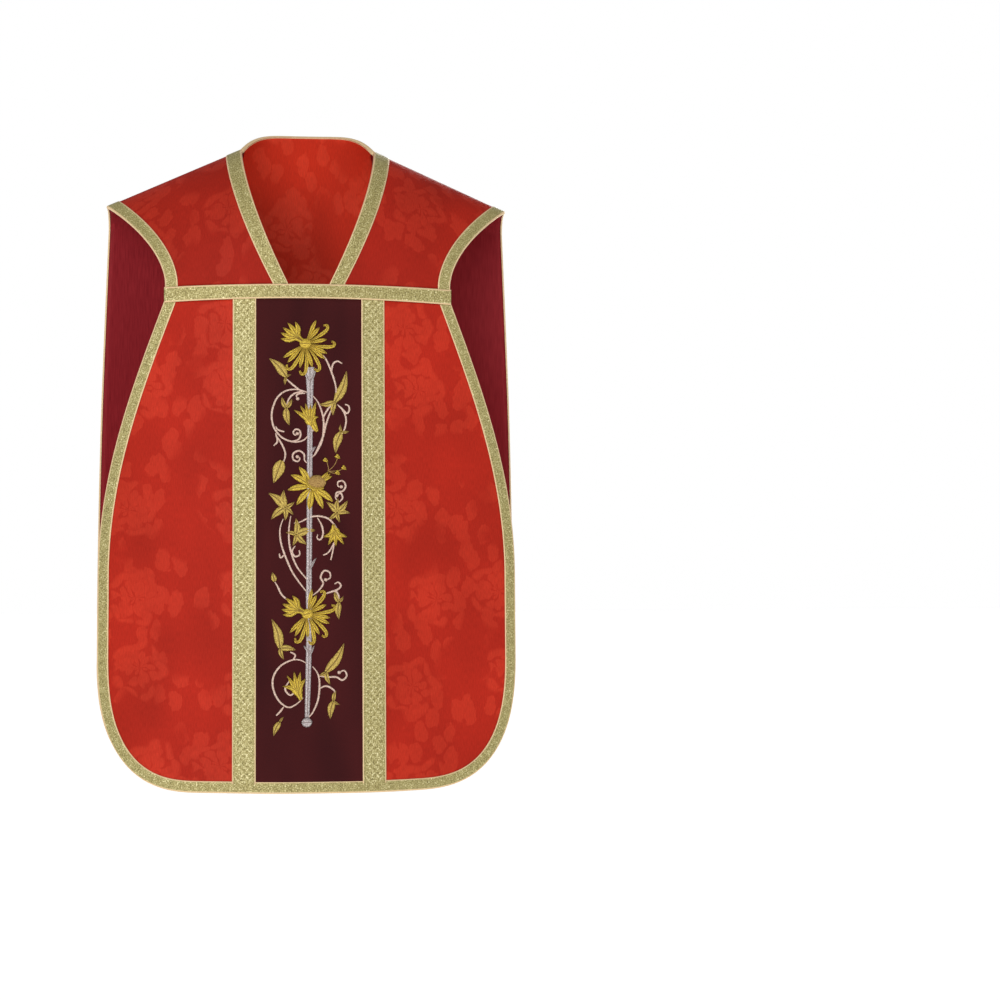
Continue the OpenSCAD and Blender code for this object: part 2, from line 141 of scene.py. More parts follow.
def flutes(across, drop, phase):
    """The slight waves that stiffened cloth falls in, which grow towards the hem."""
    depth = FLUTE_DEPTH * smooth(drop / 900) * smooth((420 - abs(across)) / 120)
    wide, narrow = FLUTES
    ripple = 0.5 * math.sin(across / narrow + 2 * phase + drop / 300)
    return depth * (math.sin(across / wide + phase) + ripple)


def front_half(height):
    t = (-height - FRONT_FOLD) / (FRONT_WIDE_Z - FRONT_FOLD)
    return mix(CHEST_W, FRONT_W, math.sin(math.pi / 2 * min(1, max(0, t)))) / 2


def back_half(height):
    t = (-height - TIP_DROP) / (0.8 * BACK_L)
    return mix(SHOULDER_W, BACK_W, math.sin(math.pi / 2 * min(1, max(0, t)))) / 2


def front(across, height):
    drop = max(0, -height - FRONT_FOLD)
    y = sag(FRONT_R, across) - FRONT_D - lean_out(drop) - flutes(across, drop, 0.6)
    return Vector((across, y, height + drop * (1 - math.cos(LEAN))))


def back_fall(across, height):
    """The back below the yoke."""
    drop = max(0, -height - BACK_FOLD)
    y = BACK_D - sag(BACK_R, across) + lean_out(drop) + flutes(across, drop, 2.1)
    return Vector((-across, y, height + drop * (1 - math.cos(LEAN))))


def nape_share(across):
    """How far a place has risen from the seam to the nape's edge; the nape is a low arch."""
    return 1 - min(1, 2 * abs(across) / NECK_W) ** NAPE_SQUARENESS


def yoke_top(across):
    """The height of the seam, or of the nape edge between the neck points."""
    seam = -TIP_DROP * (abs(across) - NECK_W / 2) / (SHOULDER_W / 2 - NECK_W / 2)
    return mix(seam, NAPE_RISE, nape_share(across))


def yoke(across, up):
    """The back over the shoulders; up is 0 at the seam and -YOKE_Z where the back hangs straight."""
    steep = NAPE_STEEP * nape_share(across)
    turn = mix(steep, math.pi / 2, min(1, max(0, -up / YOKE_Z)))
    out = (math.sin(turn) - math.sin(steep)) / (1 - math.sin(steep))
    down = (math.cos(steep) - math.cos(turn)) / math.cos(steep)
    y = mix(NAPE_D * nape_share(across), BACK_D - sag(BACK_R, across), out)
    return Vector((-across, y, mix(yoke_top(across), -YOKE_Z, down)))


def yoke_up(across, height):
    """Where a height, seen from behind, lies on the yoke."""
    steep = NAPE_STEEP * nape_share(across)
    share = min(1, max(0, (yoke_top(across) - height) / (yoke_top(across) + YOKE_Z)))
    turn = math.acos(math.cos(steep) * (1 - share))
    return -YOKE_Z * (turn - steep) / (math.pi / 2 - steep)


def shoulder(across, up):
    """A front shoulder: across is 0 at the neck and -1 or 1 at the arms.

    up is 0 at the seam and -1 at the chest."""
    side = 1 if across > 0 else -1
    below = max(0, -up - 1) * SHOULDER_DROP
    turn = math.pi / 2 * min(1, max(0, -up))
    gather = max(0, 1 - math.cos(turn)) ** 1.5
    neck = mix(NECK_LOW_W, NECK_W, 1 - gather) / 2
    arm = mix(CHEST_W, SHOULDER_W, max(0, math.cos(turn)) ** 1.8) / 2
    x = mix(neck, arm, abs(across))
    height = -TIP_DROP * abs(across) * math.cos(turn) - CHEST_Z * (1 - math.cos(turn)) - below
    return Vector((side * x, (sag(FRONT_R, x) - FRONT_D) * math.sin(turn), height))


def lifted(face, across, up, lift, step=STEP):
    """The point in metres at a place on a face, raised off the cloth by lift."""
    here = face(across, up)
    along = face(across + step, up) - here
    rise = here - face(across, up - step)
    return (here + lift * along.cross(rise).normalized()) * MM


def on_front(across, height, lift):
    return lifted(front, across, height, lift)


def on_back(across, height, lift):
    if height > -YOKE_Z:
        return lifted(yoke, across, height, lift)
    return lifted(back_fall, across, height, lift)


def on_back_seen(across, height, lift):
    """The same, with heights above the straight back as they look from behind."""
    if height > -YOKE_Z:
        height = max(-YOKE_Z, min(-0.5, yoke_up(across, height)))
    return on_back(across, height, lift)


def on_shoulder(across, up, lift):
    return lifted(shoulder, across, up, lift, 0.0002)


# ---- Outlines of the cut cloth ----


def corner(size, half, hem, t):
    """A rounded corner, from the side at 0 to the hem at 1."""
    turn = math.pi / 2 * min(1, max(0, t))
    power = 2 / CORNER_SQUARENESS
    width, height = size
    across = half - width * (1 - max(0, math.cos(turn)) ** power)
    return across, -hem + height * (1 - max(0, math.sin(turn)) ** power)


def front_row(t):
    """(half width, height) of the front skirt's side from the fold at 0 to the hem at 1."""
    straight = 0.66
    if t < straight:
        height = -mix(FRONT_FOLD, FRONT_L - FRONT_CORNER[1], t / straight)
        return front_half(height), height
    return corner(FRONT_CORNER, FRONT_W / 2, FRONT_L, (t - straight) / (1 - straight))


def back_row(t):
    """(half width, height) of the back's side, from the seam at 0 to the hem at 1."""
    yoke_share = 0.12
    straight = 0.72
    if t < yoke_share:
        up = -YOKE_Z * t / yoke_share
        return mix(SHOULDER_W / 2, back_half(-YOKE_Z), smooth(t / yoke_share)), up
    if t < straight:
        height = -mix(YOKE_Z, BACK_L - BACK_CORNER[1], (t - yoke_share) / (straight - yoke_share))
        return back_half(height), height
    return corner(BACK_CORNER, BACK_W / 2, BACK_L, (t - straight) / (1 - straight))


def cut_area(row, steps=400):
    """The area in square metres inside an outline given by its rows."""
    rows = [row(i / steps) for i in range(steps + 1)]
    strips = [(a[0] + b[0]) * abs(a[1] - b[1]) for a, b in zip(rows, rows[1:])]
    return sum(strips) * MM * MM


# ---- Materials ----


def tint(hex_code):
    """A linear colour from an sRGB hex value."""
    parts = [int(hex_code[i : i + 2], 16) / 255 for i in (1, 3, 5)]
    return [c / 12.92 if c <= 0.04045 else ((c + 0.055) / 1.055) ** 2.4 for c in parts] + [1]


def add(tree, kind, inputs=(), stops=(), **settings):
    """Adds a node with its settings.

    An input is a value or another node's output, and stops are a ramp's (place, hex colour)."""
    node = tree.nodes.new("ShaderNode" + kind)
    for name, value in settings.items():
        setattr(node, name, value)
    for key, value in dict(inputs).items():
        if isinstance(value, bpy.types.NodeSocket):
            tree.links.new(value, node.inputs[key])
        else:
            node.inputs[key].default_value = value
    for i, (place, colour) in enumerate(stops):
        marks = node.color_ramp.elements
        mark = marks[i] if i < len(marks) else marks.new(place)
        mark.position = place
        mark.color = tint(colour)
    return node


def cloth_material(name, roughness, **fixed):
    """A material with its shader's fixed values set; returns it, its tree and its shader."""
    material = bpy.data.materials.new(name)
    material.use_nodes = True
    tree = material.node_tree
    shader = tree.nodes["Principled BSDF"]
    shader.inputs["Roughness"].default_value = roughness
    shader.inputs["Specular IOR Level"].default_value = 0.15
    for key, value in fixed.items():
        shader.inputs[key.replace("_", " ")].default_value = value
    return material, tree, shader


def thread_noise(tree, uv, across, along, detail=2.0):
    """Noise drawn out like threads, with its two sizes in millimetres."""
    stretched = add(tree, "Mapping", {"Vector": uv, "Scale": (1 / (across * MM), 1 / (along * MM), 1)})
    noise = add(tree, "TexNoise", {"Vector": stretched.outputs[0], "Scale": 1.0, "Detail": detail})
    return noise.outputs["Fac"]


def dress(tree, shader, colour, relief, depth, strength):
    """Gives a shader its colour and the relief of its threads, whose depth is in millimetres."""
    tree.links.new(colour, shader.inputs["Base Color"])
    raised = add(tree, "Bump", {"Height": relief, "Distance": depth * MM, "Strength": strength})
    tree.links.new(raised.outputs["Normal"], shader.inputs["Normal"])


ROSE_REPEAT = 150


def damask_roses(tree, place):
    """Round five-lobed roses made of petals; returns them, and the distance out from the nearest rose."""
    per_repeat = 1 / (ROSE_REPEAT * MM)
    scaled = add(tree, "VectorMath", {0: place, "Scale": per_repeat}, operation="SCALE").outputs[0]
    cells = add(
        tree, "TexVoronoi", {"Vector": scaled, "Scale": 1.0, "Randomness": 0.5}, voronoi_dimensions="2D"
    )
    spoke = add(tree, "VectorMath", {0: scaled, 1: cells.outputs["Position"]}, operation="SUBTRACT")
    split = add(tree, "SeparateXYZ", {0: spoke.outputs[0]})
    angle = add(tree, "Math", {0: split.outputs["Y"], 1: split.outputs["X"]}, operation="ARCTAN2").outputs[0]
    five = add(tree, "Math", {0: angle, 1: 5.0}, operation="MULTIPLY")
    lobes = add(tree, "Math", {0: five.outputs[0]}, operation="COSINE")
    reach = add(tree, "Math", {0: lobes.outputs[0], 1: 0.03, 2: 0.3}, operation="MULTIPLY_ADD")
    far = cells.outputs["Distance"]
    out = add(tree, "Math", {0: far, 1: reach.outputs[0]}, operation="DIVIDE").outputs[0]
    rose = add(tree, "MapRange", {0: out, 1: 1.02, 2: 0.9}).outputs[0]
    round_about = add(tree, "Math", {0: angle, 1: 1.75}, operation="MULTIPLY")
    outward = add(tree, "Math", {0: out, 1: 2.7}, operation="MULTIPLY")
    polar = add(tree, "CombineXYZ", {0: round_about.outputs[0], 1: outward.outputs[0]}).outputs[0]
    petals = add(
        tree, "TexVoronoi", {"Vector": polar, "Scale": 1.0, "Randomness": 0.75}, voronoi_dimensions="2D"
    )
    petal = add(tree, "MapRange", {0: petals.outputs["Distance"], 1: 0.56, 2: 0.42, 3: 0.15, 4: 1.0})
    bloom = add(tree, "Math", {0: rose, 1: petal.outputs[0]}, operation="MULTIPLY")
    return bloom.outputs[0], out


def damask_leaves(tree, uv, place, out):
    """Ragged leaves of about 30 by 45 mm, kept in groups near the roses."""
    fray = add(tree, "TexNoise", {"Vector": uv, "Scale": 110.0, "Detail": 1.0})
    leaf_place = add(tree, "Mapping", {"Vector": place, "Scale": (34, 23, 1)}).outputs[0]
    sprigs = add(
        tree, "TexVoronoi", {"Vector": leaf_place, "Scale": 1.0, "Randomness": 1.0}, voronoi_dimensions="2D"
    )
    far = sprigs.outputs["Distance"]
    ragged = add(tree, "Math", {0: fray.outputs["Fac"], 1: 0.3, 2: far}, operation="MULTIPLY_ADD")
    leaf = add(tree, "MapRange", {0: ragged.outputs[0], 1: 0.56, 2: 0.5, 3: 0.0, 4: 0.8})
    groups = add(tree, "TexNoise", {"Vector": uv, "Scale": 9.0, "Detail": 1.0})
    near = add(tree, "MapRange", {0: out, 1: 1.0, 2: 2.2, 3: 0.14, 4: 0.0})
    grouped = add(tree, "Math", {0: groups.outputs["Fac"], 1: near.outputs[0]}, operation="ADD")
    kept = add(tree, "MapRange", {0: grouped.outputs[0], 1: 0.5, 2: 0.56})
    return add(tree, "Math", {0: leaf.outputs[0], 1: kept.outputs[0]}, operation="MULTIPLY").outputs[0]


def silk_damask(name, ground, figure):
    """Red silk damask, woven: satin roses and leaves on a ribbed ground.

    They are told apart more by sheen than by colour."""
    material, tree, shader = cloth_material(name, 0.5, Specular_IOR_Level=0.06)
    uv = add(tree, "UVMap").outputs[0]
    bent = add(tree, "TexNoise", {"Vector": uv, "Scale": 24.0, "Detail": 1.0})
    swayed = add(tree, "VectorMath", {0: bent.outputs["Color"], "Scale": 0.024}, operation="SCALE")
    place = add(tree, "VectorMath", {0: uv, 1: swayed.outputs[0]}, operation="ADD").outputs[0]
    bloom, out = damask_roses(tree, place)
    leaves = damask_leaves(tree, uv, place, out)
    pattern = add(tree, "Math", {0: bloom, 1: leaves}, operation="MAXIMUM").outputs[0]
    red = add(tree, "ValToRGB", {"Fac": pattern}, ((0.0, ground), (1.0, figure)))
    # Threads of 0.3 mm would not show, so the ribs are drawn at 1.4 mm
    weave = thread_noise(tree, uv, 1.4, 9.0)
    shade = add(tree, "ValToRGB", {"Fac": weave}, ((0.3, "#e9e9e9"), (0.7, "#ffffff")))
    mottled = thread_noise(tree, uv, 90, 140, 1.0)
    cast = add(tree, "ValToRGB", {"Fac": mottled}, ((0.3, "#e8e8e8"), (0.7, "#ffffff")))
    multiply = {"data_type": "RGBA", "blend_type": "MULTIPLY"}
    woven = add(tree, "Mix", {0: 1.0, 6: red.outputs["Color"], 7: shade.outputs["Color"]}, **multiply)
    worn = add(tree, "Mix", {0: 1.0, 6: woven.outputs[2], 7: cast.outputs["Color"]}, **multiply)
    shine = add(tree, "MapRange", {0: pattern, 1: 0.0, 2: 1.0, 3: 0.6, 4: 0.48})
    tree.links.new(shine.outputs[0], shader.inputs["Roughness"])
    dress(tree, shader, worn.outputs[2], weave, 0.25, 0.5)
    return material


def orphrey_silk():
    """Close-woven wine-dark silk: matt, with a fine twill that just shows."""
    material, tree, shader = cloth_material("orphrey_silk", 0.75, Specular_IOR_Level=0.04)
    uv = add(tree, "UVMap").outputs[0]
    weave = thread_noise(tree, uv, 1.2, 3.0)
    cast = thread_noise(tree, uv, 60, 200, 1.0)
    both = add(tree, "Math", {0: weave, 1: 0.55, 2: cast}, operation="MULTIPLY_ADD").outputs[0]
    wine = add(tree, "ValToRGB", {"Fac": both}, ((0.45, "#341416"), (0.95, "#44191a")))
    dress(tree, shader, wine.outputs["Color"], weave, 0.2, 0.5)
    return material


def medallion_silk():
    """Crimson silk of the medallion, a little redder and smoother than the orphrey."""
    material, tree, shader = cloth_material("medallion_silk", 0.6, Specular_IOR_Level=0.06)
    uv = add(tree, "UVMap").outputs[0]
    weave = thread_noise(tree, uv, 1.0, 6.0)
    crimson = add(tree, "ValToRGB", {"Fac": weave}, ((0.3, "#42131d"), (0.75, "#521a26")))
    dress(tree, shader, crimson.outputs["Color"], weave, 0.2, 0.5)
    return material


PLAIT_PERIOD = 11.0
PLAIT_SLOPE = 0.9


def plait_field(tree, uv, width, out):
    """The painted light and shade of two strands that cross over each other between a braid's borders."""
    strands = []
    for lean in (1, -1):
        run = add(tree, "VectorMath", {0: uv, 1: (lean / PLAIT_SLOPE, 1, 0)}, operation="DOT_PRODUCT")
        turn = 2 * math.pi / (PLAIT_PERIOD * MM)
        start = -lean * width / 2 * MM / PLAIT_SLOPE * turn - math.pi / 2
        phase = add(tree, "Math", {0: run.outputs["Value"], 1: turn, 2: start}, operation="MULTIPLY_ADD")
        strands.append(add(tree, "Math", {0: phase.outputs[0]}, operation="SINE").outputs[0])
    plait = add(tree, "Math", {0: strands[0], 1: strands[1]}, operation="MAXIMUM").outputs[0]
    border = {1: (width / 2 - 6) * MM, 2: (width / 2 - 5) * MM, 3: 1.0, 4: 0.0}
    field = add(tree, "MapRange", {0: out, **border})
    return add(tree, "Math", {0: plait, 1: field.outputs[0]}, operation="MULTIPLY").outputs[0]


def woven_galloon(name, width, plaited):
    """Galloon: metal thread woven over silk, pale greenish gold with pink-cream edges; its floats glint
    through lower roughness and through painted glints in their colour.

    The UV runs across and along the braid, in metres."""
    material, tree, shader = cloth_material(name, 0.5, Metallic=0.2)
    uv = add(tree, "UVMap").outputs[0]
    # Floats of metal thread are about 0.4 mm; they are drawn at 1.6 mm so that they glint at this distance
    floats = thread_noise(tree, uv, 1.6, 2.4, 3.0)
    patches = thread_noise(tree, uv, 7.0, 10.0, 1.0)
    mixed = add(tree, "Math", {0: patches, 1: 0.25, 2: floats}, operation="MULTIPLY_ADD").outputs[0]
    split = add(tree, "SeparateXYZ", {0: uv})
    from_middle = add(tree, "Math", {0: split.outputs["X"], 1: width / 2 * MM}, operation="SUBTRACT")
    out = add(tree, "Math", {0: from_middle.outputs[0]}, operation="ABSOLUTE").outputs[0]
    if plaited:
        # The strands that lie over are painted lighter and the gaps darker: painted light and shade of the
        # plait
        raised = plait_field(tree, uv, width, out)
        mixed = add(tree, "Math", {0: raised, 1: 0.075, 2: mixed}, operation="MULTIPLY_ADD").outputs[0]
    # The palest golds fall on the floats: painted glints over the thread's own tone
    golds_and_glints = ((0.46, "#776d45"), (0.6, "#9b905b"), (0.72, "#b6ab76"), (0.86, "#efe7b9"))
    body = add(tree, "ValToRGB", {"Fac": mixed}, golds_and_glints).outputs["Color"]
    rim = {1: (width / 2 - 2.1) * MM, 2: (width / 2 - 1.4) * MM, 3: 0.0, 4: 0.85}
    edge = add(tree, "MapRange", {0: out, **rim}).outputs[0]
    colour = add(tree, "Mix", {0: edge, 6: body, 7: tint("#e6c79c")}, data_type="RGBA")
    shine = add(tree, "MapRange", {0: floats, 1: 0.35, 2: 0.65, 3: 0.62, 4: 0.34})
    tree.links.new(shine.outputs[0], shader.inputs["Roughness"])
    dress(tree, shader, colour.outputs[2], mixed, 0.5, 0.8)
    return material


def satin_lining():
    """Crimson satin: smooth and softly glossy, with faint drawn threads."""
    material, tree, shader = cloth_material("satin_lining", 0.52, Specular_IOR_Level=0.06)
    uv = add(tree, "UVMap").outputs[0]
    weave = thread_noise(tree, uv, 1.5, 30.0)
    crimson = add(tree, "ValToRGB", {"Fac": weave}, ((0.3, "#7e1b22"), (0.7, "#92262c")))
    dress(tree, shader, crimson.outputs["Color"], weave, 0.2, 0.35)
    return material


def stiff_canvas():
    """Unbleached linen canvas, plain woven and stiffened with size."""
    material, tree, shader = cloth_material("stiff_canvas", 0.85)
    uv = add(tree, "UVMap").outputs[0]
    grid = add(tree, "TexBrick", {"Vector": uv, "Scale": 400.0, "Mortar Size": 0.02})
    slubs = thread_noise(tree, uv, 2.0, 12.0)
    linen = add(tree, "ValToRGB", {"Fac": slubs}, ((0.3, "#b5aa92"), (0.7, "#d2c8b2")))
    dress(tree, shader, linen.outputs["Color"], grid.outputs["Fac"], 0.3, 0.5)
    return material


def stitched_thread(name, dark, middle, light, metallic, pitch=1.3, vein=0):
    """Satin-stitched or couched thread. The UV's second way runs along the piece, so stitches cross it."""
    material, tree, shader = cloth_material(name, 0.42, Metallic=metallic)
    uv = add(tree, "UVMap").outputs[0]
    # Stitches are about 0.5 mm apart; they are drawn wider so that they show
    wave = {"Scale": 1 / (pitch * MM) / 3.14, "Distortion": 1.2, "Detail": 1.0, "Detail Scale": 2.0}
    stitches = add(tree, "TexWave", {"Vector": uv, **wave}, bands_direction="Y").outputs["Fac"]
    uneven = thread_noise(tree, uv, 1.5, 2.5)
    both = add(tree, "Math", {0: stitches, 1: 0.4, 2: uneven}, operation="MULTIPLY_ADD").outputs[0]
    # The stitch bands run from dark to light: painted shade between the stitches and painted highlights on
    # them, with the thread's own uneven tone
    shades = ((0.5, dark), (0.66, middle), (0.82, light))
    colour = add(tree, "ValToRGB", {"Fac": both}, shades).outputs["Color"]
    if vein:
        # The satin stitches from the two sides meet in a dark seam down the middle of the shape
        split = add(tree, "SeparateXYZ", {0: uv})
        out = add(tree, "Math", {0: split.outputs["X"]}, operation="ABSOLUTE")
        seam = add(tree, "MapRange", {0: out.outputs[0], 1: 0.25 * vein * MM, 2: vein * MM, 3: 0.75, 4: 0.0})
        dipped = add(tree, "Mix", {0: seam.outputs[0], 6: colour, 7: tint("#4a2a14")}, data_type="RGBA")
        colour = dipped.outputs[2]
    dress(tree, shader, colour, both, 0.35, 0.7)
    return material


DAMASK = silk_damask("silk_damask", "#b82a1b", "#c83522")
# A darker copy of the damask for the front shoulders: painted shade for where they slope back from the light
SHADED_SHOULDER_DAMASK = silk_damask("silk_damask_painted_shade", "#a92619", "#b83020")
# A brighter copy of the damask for the facing: painted light on cloth that lies in shade inside the neck
LIT_FACING_DAMASK = silk_damask("silk_damask_painted_light", "#d2341f", "#de4029")
ORPHREY = orphrey_silk()
MEDALLION = medallion_silk()
GALLOON = woven_galloon("woven_galloon", GALLOON_W, True)
EDGE_GALLOON = woven_galloon("narrow_galloon", EDGE_W, False)
NECK_GALLOON = woven_galloon("neck_galloon", NECK_BAND_W, False)
LINING = satin_lining()
CANVAS = stiff_canvas()
GOLD = stitched_thread("gold_thread", "#64420c", "#bc8e24", "#f2d854", 0.2)
PETAL_GOLD = stitched_thread("petal_gold_thread", "#64420c", "#bb8e26", "#f4dc5c", 0.2, vein=1.0)
LEAF_GOLD = stitched_thread("leaf_gold_thread", "#5f4416", "#ab8834", "#e4cb70", 0.15, vein=1.25)
CORD_GOLD = stitched_thread("gold_cord", "#74541a", "#b08c2c", "#e2c958", 0.25, pitch=2.2)
SILVER = stitched_thread("silver_thread", "#54474b", "#9c8f91", "#e2d9d6", 0.2, vein=0.9)
PALE = stitched_thread("pale_silk_thread", "#957060", "#cba894", "#f0d9ca", 0.0)
BROWN = stitched_thread("seed_thread", "#5c3818", "#94703a", "#c3a160", 0.1)
EMBLEM = stitched_thread("cream_emblem_thread", "#b9ab83", "#e2d9b8", "#fbf5e0", 0.1)
EMBLEM_GREEN = stitched_thread("green_emblem_thread", "#8f9a6c", "#b6c08e", "#d6dcb2", 0.1)
COPPER = stitched_thread("copper_ray_thread", "#5c2012", "#8a3a20", "#b05a30", 0.2)

# ---- Making pieces ----

BLEND = {
    "front": ("shoulders", "front_panel", (0, -0.15, -0.262), (0, -0.16, -0.34)),
    "back": ("shoulders", "back_panel", (0, 0.11, -0.404), (0, 0.12, -0.5)),
}


def patch(bm, columns, rows, place, flat):
    """Adds a grid. place and flat turn (0 to 1, 0 to 1) into a point in metres and a UV in metres."""
    uv = bm.loops.layers.uv.verify()
    verts = bmesh.ops.create_grid(bm, x_segments=columns, y_segments=rows, size=0.5)["verts"]
    shares = {v: (v.co.x + 0.5, v.co.y + 0.5) for v in verts}
    for face in {f for v in verts for f in v.link_faces}:
        for loop in face.loops:
            loop[uv].uv = flat(*shares[loop.vert])
    for vert, share in shares.items():
        vert.co = place(*share)


def finish_piece(name, bm, material, where, nodes, slot, thickness):
    """Makes the object and closes it to a thickness inwards; a front or back piece is fixed in place, any
    other is joined to its body; the CAD nodes it stands for are hidden.
    """
    mesh = bpy.data.meshes.new(name + "_sewn")
    bm.to_mesh(mesh)
    bm.free()
    mesh.shade_smooth()
    mesh.materials.append(material)
    piece = bpy.data.objects.new(name + "_sewn", mesh)
    bpy.context.scene.collection.objects.link(piece)
    solid = piece.modifiers.new("thickness", "SOLIDIFY")
    solid.thickness = thickness * MM
    solid.offset = -1
    if where in BLEND:
        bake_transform(piece)
    else:
        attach(piece, where)
    if nodes:
        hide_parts(*nodes)


def cloth(name, face, row, columns, rows, layer, where, nodes):
    """A whole skirt or back, from its outline's rows, at a lift from the damask's outer face."""
    lift, thickness, material, slot, inset = layer
    bm = bmesh.new()

    def place(u, v):
        half, height = row(1 - v)
        return face((half - inset) * (2 * u - 1), height, lift)

    def flat(u, v):
        half, height = row(1 - v)
        return half * (2 * u - 1) * MM, height * MM

    patch(bm, columns, rows, place, flat)
    finish_piece(name, bm, material, where, nodes, slot, thickness)


def shoulder_cloth(name, side, layer, node):
    lift, thickness, material, slot, _ = layer
    bm = bmesh.new()
    low, high = (0.0004, 1) if side > 0 else (-1, -0.0004)

    def place(u, v):
        return on_shoulder(mix(low, high, u), mix(SHOULDER_FOOT, SHOULDER_TOP, v), lift)

    def flat(u, v):
        spot = shoulder(mix(low, high, u), v - 1)
        return spot.x * MM, (v * SHOULDER_DROP - CHEST_Z) * MM

    patch(bm, 32, 36, place, flat)
    finish_piece(name, bm, material, "shoulders", [node], slot, thickness)


# ---- The cloths ----

# Each layer's lift from the damask's face, thickness, material, slot, and how far its edge is set in
LAYERS = {
    "damask": (0, DAMASK_T, DAMASK, "damask", 0),
    "interlining": (-DAMASK_T - 0.1, INTERLINING_T - 0.2, CANVAS, "interlining", 3),
    "lining": (-DAMASK_T - INTERLINING_T, LINING_T, LINING, "lining", 0.5),
}
FRONT_NODES = {"damask": ["front_skirt"], "interlining": ["front_interlining"], "lining": ["front_lining"]}
BACK_NODES = {
    "damask": ["back_yoke", "back_middle", "back_skirt"],
    "interlining": ["back_yoke_interlining", "back_middle_interlining", "back_interlining"],
    "lining": ["back_yoke_lining", "back_middle_lining", "back_lining"],
}
SHOULDER_NODES = {"damask": "shoulder_", "interlining": "shoulder_interlining_", "lining": "shoulder_lining_"}
LEFT_AND_RIGHT = ((-1, "left"), (1, "right"))
# The back is seen from behind, so its right side carries the part's left-hand pieces
BACK_LEFT_AND_RIGHT = ((-1, "right"), (1, "left"))

front_area = cut_area(front_row)
back_area = cut_area(back_row)
for kind, layer in LAYERS.items():
    cloth("front_" + kind, on_front, front_row, 72, 96, layer, "front", FRONT_NODES[kind])
    cloth("back_" + kind, on_back, back_row, 76, 130, layer, "back", BACK_NODES[kind])
for side, word in LEFT_AND_RIGHT:
    for kind, layer in LAYERS.items():
        name = "shoulder_%s_%s" % (kind, word)
        lift, thickness, material, slot, inset = layer
        # The shoulders' damask is the darker copy, with painted shade
        material = SHADED_SHOULDER_DAMASK if kind == "damask" else material
        layer = lift, thickness, material, slot, inset
        shoulder_cloth(name, side, layer, SHOULDER_NODES[kind] + word)

# ---- Galloons ----


CORDED_EDGE = 1.8
FLAT_BORDER = 5.2


def braid_rise(across, along, width):
    """The height of a broad braid's face: corded edges, a border, and two strands that plait between."""
    middle = across - width / 2
    out = abs(middle)
    field = width / 2 - FLAT_BORDER
    cord = width / 2 - CORDED_EDGE
    if out > cord:
        return 0.45 + 0.12 * math.sin(along * 2.4)
    if out > field:
        return 0.1 + 0.3 * math.sin(math.pi * (out - field) / (cord - field))
    high = -1.0
    for lean in (1, -1):
        strand = ((along + lean * middle / PLAIT_SLOPE) % PLAIT_PERIOD) / PLAIT_PERIOD - 0.5
        over = 0.14 * math.sin(math.pi * (along - lean * middle / PLAIT_SLOPE) / PLAIT_PERIOD)
        high = max(high, 0.6 * math.cos(math.pi * strand) ** 2 - 0.15 + over)
    return high


BRAID_CELL = 1.7


def galloon_strip(bm, face, start, end, upright, mitres=(0, 0)):
    """A straight broad braid between two places: start and end give its lower left side.

    An upright braid runs up and down; the others run across. mitres slant its two ends."""
    length = math.dist(start, end)

    def slanted(mitre, across):
        return mitre * across if mitre > 0 else -mitre * (GALLOON_W - across)

    def spots(u, v):
        """(distance across, distance along, place across, place up)"""
        w, t = (u, v) if upright else (v, u)
        across = w * GALLOON_W
        along = mix(slanted(mitres[0], across), length - slanted(mitres[1], across), t)
        if upright:
            return across, along, start[0] + across, start[1] + along
        return across, along, start[0] + along, start[1] + across

    def place(u, v):
        across, along, a, b = spots(u, v)
        return face(a, b, GALLOON_LIFT + braid_rise(across, along, GALLOON_W))

    def flat(u, v):
        across, along, _, _ = spots(u, v)
        return across * MM, along * MM

    wide = round(GALLOON_W / BRAID_CELL)
    long = round(length / BRAID_CELL)
    patch(bm, wide if upright else long, long if upright else wide, place, flat)


def galloon(name, face, strips, where, node):
    """Broad braid laid in one or more strips, each (start, end, upright, mitres)."""
    bm = bmesh.new()
    for strip in strips:
        galloon_strip(bm, face, *strip)
    finish_piece(name, bm, GALLOON, where, [node], "galloon", GALLOON_T)


HEM_TUCK = 4
FRONT_FOOT = -FRONT_L + EDGE_W - HEM_TUCK
BACK_FOOT = -BACK_L + EDGE_W - HEM_TUCK
ARM_END = back_half(-ARM_Z) - EDGE_W - ARM_MARGIN
ARM_TOP = -ARM_Z + ARM_H / 2
ARM_FOOT = -ARM_Z - ARM_H / 2

for side, word in LEFT_AND_RIGHT:
    name = "front_galloon_" + word
    inner = FRONT_COLUMN_HALF if side > 0 else -FRONT_COLUMN_HALF - GALLOON_W
    galloon(name, on_front, [((inner, FRONT_FOOT), (inner, -FRONT_FOLD), True)], "front", name)
for side, word in BACK_LEFT_AND_RIGHT:
    name = "back_galloon_" + word
    inner = BACK_COLUMN_HALF if side > 0 else -GALLOON_HALF
    low, high = (BACK_COLUMN_HALF, ARM_END) if side > 0 else (-ARM_END, -BACK_COLUMN_HALF)
    outer = ARM_END - GALLOON_W if side > 0 else -ARM_END
    below = ARM_FOOT - GALLOON_W
    galloon(name, on_back, [((inner, BACK_FOOT), (inner, ARM_FOOT), True, (0, side))], "back", name)
    frame_strips = [
        ((low, ARM_TOP), (high, ARM_TOP), False, (side, -side)),
        ((low, below), (high, below), False, (-side, side)),
        ((outer, below), (outer, ARM_TOP + GALLOON_W), True, (-side, -side)),
    ]
    galloon("cross_galloon_" + word, on_back, frame_strips, "shoulders", "arm_galloon_" + word)


